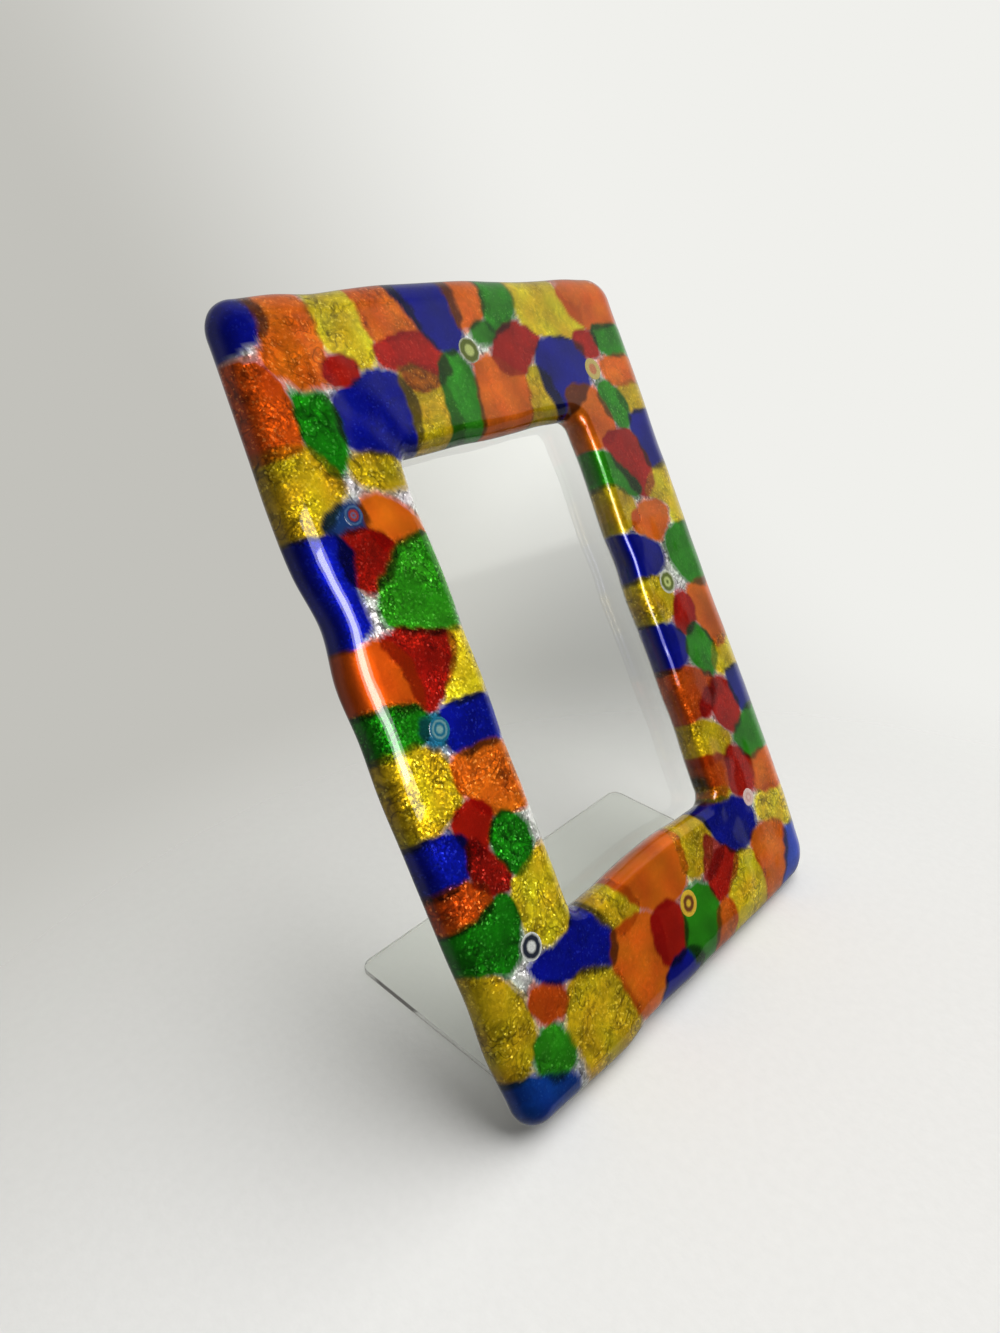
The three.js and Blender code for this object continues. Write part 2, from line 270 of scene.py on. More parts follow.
MOSAIC = [
    # top rail
    ("blue", 0.3, [(-2, 213), (5, 214), (11, 216), (16, 218.5), (17.5, 222), (16, 228.5), (-2, 229)]),
    ("orange", 0.8, [(12, 229), (30, 229), (30.5, 216), (30, 204), (26, 203), (20, 203), (13, 207),
                     (10, 212), (13, 217), (14, 222)]),
    ("lemon", 1.0, [(29.5, 229), (46, 229), (47.5, 221), (47.5, 212), (44, 206), (40, 206), (36, 210),
                    (30, 212.5)]),
    ("orange", 0.6, [(45, 229), (63, 229), (66, 220), (67, 214), (58, 214), (47, 212), (46.5, 220)]),
    ("red", 0.4, [(47, 212.5), (53, 214), (59, 215), (66, 215), (70, 210.5), (72.5, 206), (72, 200.5),
                  (66, 201.5), (60, 204.5), (50, 205), (45.5, 208)]),
    ("red", 0.5, [(26.5, 206.5), (28.5, 209.8), (33, 211), (37.5, 210), (40, 206.5), (37.5, 203),
                  (33, 202), (28.5, 203)]),
    ("blue", 0.1, [(58.5, 229), (84.5, 229), (84.5, 220), (82, 213), (80, 209), (75, 206.5), (70, 209),
                   (66, 214), (63, 220)]),
    ("orange", 0.2, [(80.5, 229), (98, 229), (96, 222), (92.5, 216), (87, 214), (81.5, 213.5),
                     (81, 220)]),
    ("green", 0.5, [(97, 229), (110, 229), (110.5, 222), (104.5, 214.5), (97, 211), (92.5, 214),
                    (94, 221)]),
    ("pale green", 0.3, [(85, 214.5), (92, 216.5), (97, 212), (92, 208.5), (86.5, 209.5)]),
    ("lemon", 0.4, [(109.5, 224), (110, 229), (130, 229), (134, 221), (140, 217), (138, 209.5),
                    (134, 207.5), (122, 209), (113, 211), (108.5, 215)]),
    ("orange", 0.1, [(131, 226), (140, 228.5), (151, 227.5), (158, 223), (159, 212), (151, 209.5),
                     (140, 209.5), (133, 216)]),
    ("red", 0.3, [(101, 215.3), (108, 214.8), (117.5, 209.5), (111, 205), (103.5, 198), (96, 198.5),
                  (90.5, 203), (92, 208), (96, 212)]),
    ("blue", 0.4, [(27.5, 201), (34, 202), (40, 205.5), (46, 205.5), (52, 204), (55.5, 196), (54, 189),
                   (51, 180.5), (42, 181), (33, 183.5), (26.5, 186), (25.5, 194)]),
    ("deep orange", 0.5, [(53, 206), (60, 206), (66, 203), (71, 201.5), (66.5, 198.5), (58, 197.5),
                          (53.5, 199)]),
    ("yellow", 0.8, [(51, 206), (57, 205.5), (63, 203), (68, 200), (69.5, 189), (70, 179.5), (50, 178.5),
                     (51.5, 192)]),
    ("green", 0.3, [(66.5, 203), (71, 208), (77.5, 208), (81, 200), (79.5, 190), (77, 179.5), (62, 179.5),
                    (65.5, 190)]),
    ("orange", 0.2, [(81.5, 203.3), (88, 205.5), (94, 204.5), (99, 199.5), (103.5, 198.3), (101.5, 190),
                     (98.5, 181), (88, 179), (76.5, 180), (78.5, 191)]),
    ("yellow", 0.6, [(103, 199.5), (112, 201.5), (115, 192), (117, 184), (107, 179.5), (97.5, 180),
                     (101, 190)]),
    ("blue", 0.1, [(109.5, 203), (115, 208.8), (124, 209.5), (131, 208.5), (134.5, 205), (134, 197),
                   (130.5, 190), (123, 185.5), (117, 181.5), (112, 184.5), (110, 192)]),
    ("red", 0.2, [(131, 210), (142, 210.5), (142.5, 204), (140, 199.5), (133.5, 201)]),
    ("green", 0.3, [(140, 211.3), (158.5, 211.3), (158.5, 199.5), (148, 199.5), (141.5, 203)]),
    ("orange", 0.3, [(139, 200.3), (159, 200.3), (159, 189.5), (148, 189.5), (140.5, 191)]),
    ("yellow", 0.5, [(143, 190.5), (159, 190.5), (159.5, 179.5), (150, 179), (143.5, 182)]),
    ("green", 0.6, [(134, 191.5), (140, 193), (146.5, 187), (147.5, 179), (144, 175), (137.5, 176.5),
                    (133.5, 183)]),
    ("orange", 0.2, [(119, 192), (125, 193), (131.5, 192), (135.5, 186), (137, 178), (134.5, 172),
                     (127, 170.5), (117, 171), (117, 184)]),
    # left stile
    ("deep orange", 0.9, [(-2, 212), (4, 212.8), (10, 211.5), (13.5, 206), (14.5, 198), (14, 189),
                          (8, 187), (-3, 187.5)]),
    ("deep green", 0.9, [(14.5, 202.3), (19, 203.5), (26.5, 200.5), (27.5, 192), (26.8, 186), (24.5, 182),
                         (21, 177.5), (17, 184), (13.5, 190)]),
    ("yellow", 1.0, [(-4, 190), (8, 190), (15, 189.5), (19, 184), (22.5, 178), (19.5, 172.5), (14, 168),
                     (9, 166.3), (-4, 166.3)]),
    ("yellow", 1.0, [(24.5, 184), (32, 185), (42, 181.5), (42, 173), (36, 172.5), (30, 174.5),
                     (25, 178)]),
    ("slate", 0.2, [(9.5, 168), (13.5, 171.5), (18, 173), (24.5, 172.7), (26, 168.5), (24.5, 165.2),
                    (20, 164.3), (13, 165.5)]),
    ("orange", 0.05, [(23.5, 171.5), (28, 173.8), (33, 172), (38, 168), (42.5, 163), (42, 159.5),
                      (34.5, 158.8), (28, 157.3), (25, 160), (24, 166)]),
    ("deep red", 0.7, [(13.5, 164.6), (18, 165.6), (23, 165.5), (28, 163), (31, 158), (26.5, 151),
                       (20, 148.3), (14, 150.5), (12, 157)]),
    ("blue", 0.25, [(-4, 165.3), (4, 167), (10, 166.8), (15, 165.5), (17.5, 160), (15, 154), (13.5, 149),
                    (14.5, 142), (11, 138.5), (8, 136.8), (-4, 137.3)]),
    ("green", 0.95, [(19.5, 149), (21.5, 151.5), (26, 154.5), (30, 158.7), (36, 160.8), (43, 161.5),
                     (43, 132.5), (36, 131.8), (28, 134.5), (21.5, 138), (17.5, 141)]),
    ("deep red", 0.8, [(14, 137.3), (20.5, 139), (28, 136.5), (37, 133.5), (37.5, 127), (33, 121),
                       (25.5, 115.8), (22, 114.3), (18.5, 117), (18.5, 125), (16.5, 132)]),
    ("deep orange", 0.05, [(-4, 138.5), (8, 136.7), (14.5, 137.7), (20, 134), (22.5, 126), (20.5, 115.8),
                           (14, 117.7), (8, 119.7), (-4, 120.5)]),
    ("lemon", 1.0, [(36.5, 133.3), (43, 133), (43, 112.5), (30, 113.5), (26, 115.2), (31, 120),
                    (35, 126)]),
    ("deep green", 0.9, [(-4, 120.8), (8, 121.2), (16.5, 118.8), (20.8, 115.5), (20, 110), (14, 107.3),
                         (-4, 107.5)]),
    ("blue", 0.45, [(22.3, 114), (30, 115), (43, 113.3), (43, 99.7), (32, 99.5), (23, 101.5)]),
    ("teal", 0.4, [(15, 111.5), (18.5, 114.7), (23.5, 114.8), (24.5, 108), (22.5, 104.3),
                   (17.5, 105.5)]),
    ("yellow", 1.0, [(-4, 108.8), (8, 109.2), (14, 108.6), (19, 105), (21.8, 100), (22.5, 94),
                     (20.5, 88.3), (14, 86.2), (8, 84), (-4, 84.3)]),
    ("orange", 0.95, [(21, 102), (30, 101.8), (43, 100.3), (43, 79.5), (36, 80), (28, 81.6), (24, 87.5),
                      (20.8, 92)]),
    ("red", 0.1, [(14, 84.5), (18, 88.7), (24, 89.5), (29, 86), (28.5, 80), (24.5, 74.7), (20, 74),
                  (15.5, 79)]),
    ("blue", 0.45, [(-4, 85), (6, 85.3), (13.5, 84.5), (18.5, 80), (17.5, 74), (12, 69), (-4, 70.6)]),
    ("deep red", 0.8, [(17.5, 80.5), (22, 76.5), (26, 71.5), (28.5, 65), (25, 61.7), (19, 63.2),
                       (13.5, 69.5)]),
    ("deep orange", 0.9, [(-4, 72.3), (8, 70.8), (14, 70.8), (20, 64.5), (18, 59.6), (8, 59.5),
                          (-4, 60)]),
    ("deep green", 1.0, [(24, 75.5), (27, 80), (31, 82.3), (36.5, 80.5), (38.8, 74), (38.5, 67),
                         (33.5, 63.7), (28.3, 63.2)]),
    ("lemon", 1.0, [(24.5, 62), (29, 64.5), (33.5, 64.5), (38, 67.5), (43, 68), (43, 43), (36, 41.5),
                    (28.5, 42.5), (25, 50)]),
    ("deep green", 0.9, [(-4, 60.8), (8, 60.3), (16, 61.3), (20.5, 63), (24.8, 61.5), (26, 55), (23, 50),
                         (19.5, 44), (14, 42.3), (8, 47), (-4, 51.5)]),
    # bottom rail
    ("yellow", 1.0, [(-4, 52.5), (2, 49.5), (8, 46.5), (13, 42), (16.5, 32), (15.5, 24.5), (9, 16.3),
                     (3, 16.3), (-3, 17)]),
    ("green", 0.8, [(13.5, 23.5), (19, 25), (24, 22), (26.6, 16), (25, 10.5), (20, 8.6), (15.5, 10.5),
                    (11, 17)]),
    ("deep orange", 0.4, [(16.5, 34.5), (20, 35.8), (24, 34.5), (28.5, 31.5), (31, 27), (27.5, 22.7),
                          (21, 23.7), (16.3, 28)]),
    ("blue", 0.45, [(20, 41.3), (27, 40.8), (34, 41), (39, 42), (43.5, 47), (49, 45), (52.5, 38),
                    (55, 31), (54, 25.7), (50, 22.5), (44, 24.5), (37, 28.7), (30, 29.8), (24, 33.5)]),
    ("marine", 0.2, [(-2, 17.5), (5, 17.8), (12, 15), (20, 10), (24.5, 6.5), (23.5, 0), (12, -2), (3, 0),
                     (-3, 8)]),
    ("yellow", 1.0, [(25.5, 20), (28, 25), (32, 28.7), (38, 29.7), (44, 26), (50, 23), (52.5, 14),
                     (54.5, 6), (53, -1), (40, -1.5), (30, -1), (28, 5), (26.3, 11)]),
    ("yellow", 0.9, [(46.5, 46), (54, 47.5), (62, 46.5), (67.5, 38.5), (70, 32), (62.5, 29), (55.5, 29),
                     (50, 39)]),
    ("orange", 0.05, [(59, 47.5), (70, 48.5), (85, 48), (97, 47), (96.5, 38), (96, 29.5), (88, 25.5),
                      (76, 27.3), (69, 31.5), (65, 37)]),
    ("orange", 0.15, [(52, 31.5), (60, 32.5), (70, 30.5), (76, 26.5), (74.5, 14), (68, 5), (62, 0.5),
                      (54.5, 3), (51.5, 12), (49, 22)]),
    ("red", 0.1, [(71, 26.5), (74, 28.5), (80, 29), (87, 25), (86.5, 16), (83, 10), (76, 8), (70.3, 11.5),
                  (69, 19)]),
    ("blue", 0.05, [(65.5, 3.5), (67, 6.5), (72, 10.3), (80, 11.8), (87, 10), (91, 3), (88, -1),
                    (66, -1)]),
    ("green", 0.1, [(91.5, 26.5), (98, 25.5), (103.7, 21), (105.2, 14), (102, 8), (98, 1), (90, -1),
                    (85.5, 4), (82.5, 11), (85, 18), (88, 24)]),
    ("yellow", 0.8, [(94.5, 47), (104, 47.5), (111, 44), (114.5, 36), (109, 27), (101, 25), (94, 29),
                     (93.5, 36)]),
    ("rust", 0.6, [(109, 37), (114, 33), (118, 29), (114, 25), (106.5, 22), (101.5, 23.5), (105.5, 30)]),
    ("blue", 0.4, [(109, 48), (112.5, 49), (119, 44.8), (126, 43), (134.5, 38.5), (139.8, 31),
                   (137, 24.3), (129, 21.8), (122.5, 22.5), (117.3, 28.5), (112.7, 35.7), (110, 43)]),
    ("red", 0.5, [(102.5, 21), (104.5, 25), (110, 28.5), (114.5, 30.3), (119, 27.5), (124, 22.3),
                  (119.5, 17.3), (112, 14.3), (105.5, 13.7)]),
    ("lemon", 0.9, [(121.5, 23.5), (130, 22), (134.5, 16.5), (134, 8), (132, -1.5), (112, -1), (109, 5),
                    (110, 14.5), (117, 17.5)]),
    ("orange", 0.5, [(103.5, 14), (109, 15), (113, 9.5), (112, 3), (105, -1), (98.5, -1), (97, 3)]),
    ("orange", 0.3, [(132, 22.5), (138, 25.5), (144.5, 25.2), (151.3, 19.5), (150.5, 12), (146, 5),
                     (142, -1), (132, -1), (133.5, 7), (133, 14)]),
    ("royal", 0.1, [(150, 18), (158, 18), (163, 14), (163, 3), (155, -2), (142, -2), (143.5, 2),
                    (147.3, 9)]),
    ("lemon", 1.0, [(139.5, 28.5), (143.3, 36), (152, 35.5), (164, 31), (164, 16.5), (158, 17),
                    (151, 18.5), (144, 24.7)]),
    # right stile
    ("blue", 0.1, [(143.5, 176.5), (149, 181), (155, 180), (161, 179), (161, 160), (151, 158.3),
                   (146.3, 160), (147, 168)]),
    ("red", 0.3, [(127, 173.5), (134, 175.5), (143, 176), (147.5, 168), (149, 160), (146.5, 152.5),
                  (141, 150.3), (136, 151.5), (133, 158), (129, 166)]),
    ("green", 0.4, [(117, 171), (127, 170), (132, 164), (137, 158.5), (140, 153), (133, 150.7),
                    (127, 157), (117, 158)]),
    ("yellow", 0.8, [(117, 158.5), (127, 158), (133, 151), (133, 143), (129, 142), (117, 141.5)]),
    ("lemon", 0.7, [(139, 151), (148, 159), (155, 160.5), (161, 160.5), (161, 137), (149, 138),
                    (151, 147)]),
    ("orange", 0.2, [(128, 146.5), (137, 149), (147, 149), (150, 143), (145, 137.5), (138, 134),
                     (127, 140.5)]),
    ("blue", 0.1, [(112, 141.5), (122, 141.5), (131.5, 137.5), (139, 133.3), (137, 127), (130, 123.8),
                   (112, 124)]),
    ("green", 0.2, [(140.5, 133), (145, 137), (151, 138.5), (161, 138), (161, 115), (155, 114),
                    (148, 116), (142, 121.5)]),
    ("yellow", 0.8, [(112, 125), (130, 124.8), (134.5, 121), (136, 112), (134, 108.5), (112, 108.5)]),
    ("orange", 0.1, [(142.5, 115.5), (150, 117), (161, 116.5), (161, 95), (153, 91), (147, 93),
                     (144.5, 101), (141, 106)]),
    ("red", 0.2, [(132.5, 112.7), (138, 116), (142.5, 114), (144.5, 109.5), (142.5, 103), (136, 99.7),
                  (130, 103.5)]),
    ("blue", 0.1, [(112, 109), (122, 109), (129, 106.5), (133.5, 101.5), (133.5, 96), (127.5, 90.8),
                   (112, 91.5)]),
    ("green", 0.3, [(131.5, 98), (137, 103.5), (142, 103.5), (147.5, 97), (148.5, 90), (143.5, 84),
                    (139, 82.7), (131.5, 93)]),
    ("lemon", 0.7, [(146, 93), (153, 94.5), (161, 96), (161, 82.5), (154, 82), (147, 81.8),
                    (142.5, 85.5)]),
    ("deep orange", 0.6, [(112, 92.5), (127, 92), (134, 88.5), (140.5, 84), (141.5, 79), (135, 72.5),
                          (112, 72)]),
    ("red", 0.4, [(127, 77), (133, 80.8), (139, 80), (136, 74), (131, 71.2), (127, 72)]),
    ("red", 0.3, [(136.5, 79.5), (140, 82.7), (144.5, 82), (149, 77), (150.5, 68), (147, 62), (140, 60.8),
                  (132.5, 70)]),
    ("violet", 0.1, [(147, 82), (154, 83.3), (161, 82), (161.5, 67), (156, 64.5), (149.5, 66)]),
    ("yellow", 0.8, [(114, 72.5), (127, 72), (133.5, 67.5), (140, 60.3), (134.5, 55.5), (127, 55.7),
                     (114, 57)]),
    ("green", 0.2, [(139.5, 60.5), (147, 64.5), (156, 67.5), (162, 66), (162.5, 50), (152, 48.3),
                    (146, 47.7), (142, 53.7)]),
    ("deep orange", 0.3, [(112, 60), (127, 59.5), (134, 55), (131.5, 48), (128, 42.5), (119, 43),
                          (111, 48)]),
    ("olive", 0.5, [(108, 59), (117, 58), (121, 52), (121, 45), (110, 46.5)]),
    ("lemon", 0.8, [(117.5, 49), (124, 48), (130, 44.5), (131, 41), (119, 43.5)]),
    ("red", 0.4, [(131, 56), (136.5, 58.5), (142, 55), (146.5, 49.5), (145, 43), (143.3, 37.5),
                  (135, 37.8), (129.5, 43)]),
    ("orange", 0.3, [(144, 47), (147.5, 50.5), (156, 49), (163, 46), (163.5, 32), (154, 32.5),
                     (147, 34.5), (143, 37)]),
]

# How far the pieces drifted as the glass melted: place on the face, and drift across and up
DRIFT = [
    (10, 22, -2.2, -0.1),
    (46, 22, -2.3, 0.9),
    (80, 22, -3.6, 0.3),
    (105, 22, -4.0, 0.7),
    (130, 22, -4.7, 1.4),
    (154, 22, -0.6, 0.9),
    (21, 66, -3.3, 0),
    (21, 110, -2.7, -0.6),
    (21, 160, -3.1, -1.1),
    (10, 204, -1.5, -2),
    (46, 204, -2.2, -1.7),
    (80, 204, -3.1, -1.6),
    (118, 204, -4.1, -2),
    (145, 204, -2, -1.5),
    (137, 62, -0.8, -1),
    (137, 100, -1.4, -1.4),
    (137, 146, -2.5, -1.5),
    (137, 176, -2.3, -1.8),
]

# Slices of cane: place on the face, radius, and rings from the rim in as share of the radius and colour
CANES = [
    ("top_1", 79.2, 206.0, 4.2, [(1.0, "frost"), (0.84, "olive"), (0.42, "lime")]),
    ("right_2", 133.0, 194.9, 4.0, [(1.0, "gold white"), (0.46, "salmon")]),
    ("left_1", 18.2, 168.0, 3.1, [(1.0, "slate"), (0.84, "sky"), (0.66, "slate"), (0.5, "rust"),
                                  (0.26, "sky"), (0.13, "rust")]),
    ("left_3", 19.3, 109.1, 3.6, [(1.0, "teal"), (0.68, "mist"), (0.56, "teal"), (0.3, "mist")]),
    ("left_2", 22.0, 45.0, 4.1, [(1.0, "white"), (0.78, "black"), (0.38, "white")]),
    ("bottom_1", 86.9, 22.4, 4.5, [(1.0, "gold"), (0.6, "umber"), (0.26, "gold")]),
    ("bottom_2", 135.5, 37.3, 3.3, [(1.0, "pink white"), (0.5, "blush"), (0.25, "pink white")]),
    ("right_1", 132.8, 119.0, 4.4, [(1.0, "frost"), (0.76, "olive"), (0.42, "lime"), (0.16, "olive")]),
]

COLOURS = {
    "silver": "#D8D9D2",
    "orange": "#E26A12",
    "deep orange": "#C44A0A",
    "red": "#B01808",
    "deep red": "#921208",
    "yellow": "#CCAA14",
    "lemon": "#E4C81C",
    "green": "#2C8C14",
    "deep green": "#167A0C",
    "pale green": "#2E7A18",
    "blue": "#06108C",
    "marine": "#0C3E98",
    "royal": "#2E4CC0",
    "violet": "#222C8C",
    "teal": "#1E6E8C",
    "slate": "#1C3870",
    "frost": "#C9CDB6",
    "olive": "#62702E",
    "lime": "#BECB78",
    "gold white": "#CDBB70",
    "salmon": "#CC8058",
    "gold": "#D2AC34",
    "umber": "#6A3C20",
    "pink white": "#DCC0B8",
    "blush": "#CFA39A",
    "white": "#D4D6D0",
    "black": "#262A36",
    "sky": "#4E6E98",
    "mist": "#84AEAA",
    "rust": "#A03A34",
}

# How far the hand-laid outline stands out at even steps from corner to corner, in millimetres
OUTER_RIPPLE = {
    "bottom": [-0.6, 0.2, 1.1, 1.4, -0.4, 0, 0.6, 0.5, 1.0, 1.0, 1.4, 1.4, 1.2],
    "right": [1.4, 2.4, 2.5, 2.2, 1.8, 1.3, 0.6, 0, -0.1, 0, -0.3, -0.4, 0.1, -0.3, -0.8],
    "top": [-0.6, 0, -0.2, -0.2, 0.3, 1.0, 1.0, 0.9, 0.8, 0.1, -0.7, -0.3, -1.0],
    "left": [-0.7, 0, 0.8, 1.6, 1.5, -0.6, 1.6, 1.1, 1.6, 1.2, 0.9, 0.6, 0, 0.6, -0.8],
}
WINDOW_RIPPLE = {
    "bottom": [0.8, 0.6, -0.3, -0.7, -0.5, 0.5, 1.0],
    "right": [-0.2, 0, 0.6, 0.1, 0.2, -0.1, -0.6, 0.3, -0.4, 0.1, 0.5, 0],
    "top": [0.4, 0.7, 0.2, -0.1, 0.1, -0.3, -0.6],
    "left": [0, 0.4, -0.2, -0.5, -0.1, -0.4, -0.1, 0.4, 0.1, 0, 0, 0.1],
}

# Columns of faces on the sides and corners of the ring, from the bottom side round to the right
COLUMNS = [150, 22, 230, 22, 150, 22, 230, 22]
LEFT_SIDE = 6.5

# Rows of faces round the section of the glass
FOOT_ROWS = 3
OUTER_ROWS = 14
CROWN_ROWS = 48
WINDOW_ROWS = 10
BACK_ROWS = 9

# How the edges melted, in millimetres: how far the back stands in from the outlines and how
# roundly its foot curves, the sharpest corner, how much the wandering calms towards the crown,
# and the height over which the swell dies away
OUTER_FOOT = 1.6
WINDOW_FOOT = 0.9
FOOT_CURVE = 1.6
SHARPEST_CORNER = 0.6
CALMED = 0.6
SWELL_FADE = 3
SWELL_LENGTHS = (16, 7)

# How the mosaic melted, in millimetres: share of a side that melting cuts off at each corner, how
# far a piece spread, the gaps that closed up, the rim over which the outer pieces ran, and how
# far from the window the colours of its left edge come from
CORNER_CUT = 0.22
SPREAD = 0.3
CLOSED_GAP = 1.0
RIM = 1.5
RUN_OVER = 2.6
# Height, length and seed of the waves in the edges of the pieces
EDGE_WAVES = [(0.9, 3.2, 1), (0.18, 1.1, 3)]
# Share that the upper colour keeps to itself where pieces overlap
UPPER_SHARE = 0.18
# Seeds of the noises of leaf, surface, sheet glass and cane
CRUMPLE_SEED, SEAM_SEED = 5, 6
SWELL_SEED, FINE_SWELL_SEED = 7, 8
STRENGTH_SEED, HUE_SEED = 9, 10
CANE_SEED = 11

# Painted shade of the mosaic at the foot of its rounded edges, and the tone of the leaf on the back
EDGE_PAINTED_SHADE = 0.65
BACK_SHADE = 0.64
BACK_GLITTER = 0.5
BACK_RISE = 0.5

# Slices of cane: share of the radius over which two rings run into each other, how uneven and
# how lobed the rings are, and in millimetres the drop of the rim and the depth in the glass
RING_BLUR = 0.15
UNEVEN = 0.07
LOBES = 9
LOBE_HEIGHT = 0.02
RIM_SHARE = 0.9
RIM_DROP = 0.16
SLICE_DEPTH = 0.6

# Facets across the bend of the easel, and rounded edges of the strips in millimetres
BEND_CUTS = 18
STRIP_CORNER = 1.6
STRIP_RIM = 0.1
SHARP = math.radians(60)

# The camera: place in millimetres, yaw from +Y, pitch and roll in degrees, and lens in millimetres
CAMERA_PLACE = (-198.02, -135.55, 218.2)
CAMERA_TURN = (48.051, 26.762, 1.329)
CAMERA_LENS = 23.98


# Colours and nodes


def linear(name_or_hex):
    """sRGB hex to linear red, green and blue."""
    text = COLOURS.get(name_or_hex, name_or_hex).lstrip("#")
    parts = [int(text[i : i + 2], 16) / 255 for i in (0, 2, 4)]
    return [p / 12.92 if p <= 0.04045 else ((p + 0.055) / 1.055) ** 2.4 for p in parts]


def colour(name_or_hex):
    """The same as the value of a colour socket."""
    return (*linear(name_or_hex), 1.0)


def add_node(tree, kind, inputs=None, **settings):
    """Adds a node with its settings, and sets or links its inputs."""
    made = tree.nodes.new(kind)
    for name, value in settings.items():
        setattr(made, name, value)
    for socket, value in (inputs or {}).items():
        if isinstance(value, bpy.types.NodeSocket):
            tree.links.new(value, made.inputs[socket])
        else:
            made.inputs[socket].default_value = value
    return made


def new_material(name):
    """An empty material and its node tree."""
    material = bpy.data.materials.new(name)
    material.use_nodes = True
    material.node_tree.nodes.clear()
    return material, material.node_tree


def object_coordinates(tree):
    """Places in the object's own frame, in metres."""
    return add_node(tree, "ShaderNodeTexCoord").outputs["Object"]


def leaf_normal(tree, facets, folds, strength):
    """Silver leaf crumples as the glass takes it up: folds a few millimetres long, broken into
    small facets that each catch the light."""
    creased = add_node(
        tree, "ShaderNodeBump", {"Height": folds, "Strength": 1.0, "Distance": 0.38 * MM}
    ).outputs["Normal"]
    centred = add_node(tree, "ShaderNodeVectorMath", {0: facets, 1: (0.5, 0.5, 0.5)}, operation="SUBTRACT")
    tipped = add_node(tree, "ShaderNodeVectorMath", {0: centred.outputs[0], "Scale": 1.1}, operation="SCALE")
    leaf = add_node(tree, "ShaderNodeVectorMath", {0: creased, 1: tipped.outputs[0]}, operation="ADD")
    geometry = add_node(tree, "ShaderNodeNewGeometry")
    mixed = add_node(
        tree,
        "ShaderNodeMix",
        {"Factor": strength, "A": geometry.outputs["Normal"], "B": leaf.outputs[0]},
        data_type="VECTOR",
    )
    return add_node(
        tree, "ShaderNodeVectorMath", {0: mixed.outputs["Result"]}, operation="NORMALIZE"
    ).outputs[0]


def coat_normal(tree, coords):
    """The melted top surface is glossy and gently uneven, in swells about 12 mm long."""
    swells = add_node(
        tree,
        "ShaderNodeTexNoise",
        {"Vector": coords, "Scale": 1 / (12 * MM), "Detail": 1.5, "Roughness": 0.4},
    )
    return add_node(
        tree, "ShaderNodeBump", {"Height": swells.outputs["Fac"], "Strength": 0.5, "Distance": 0.5 * MM}
    ).outputs["Normal"]


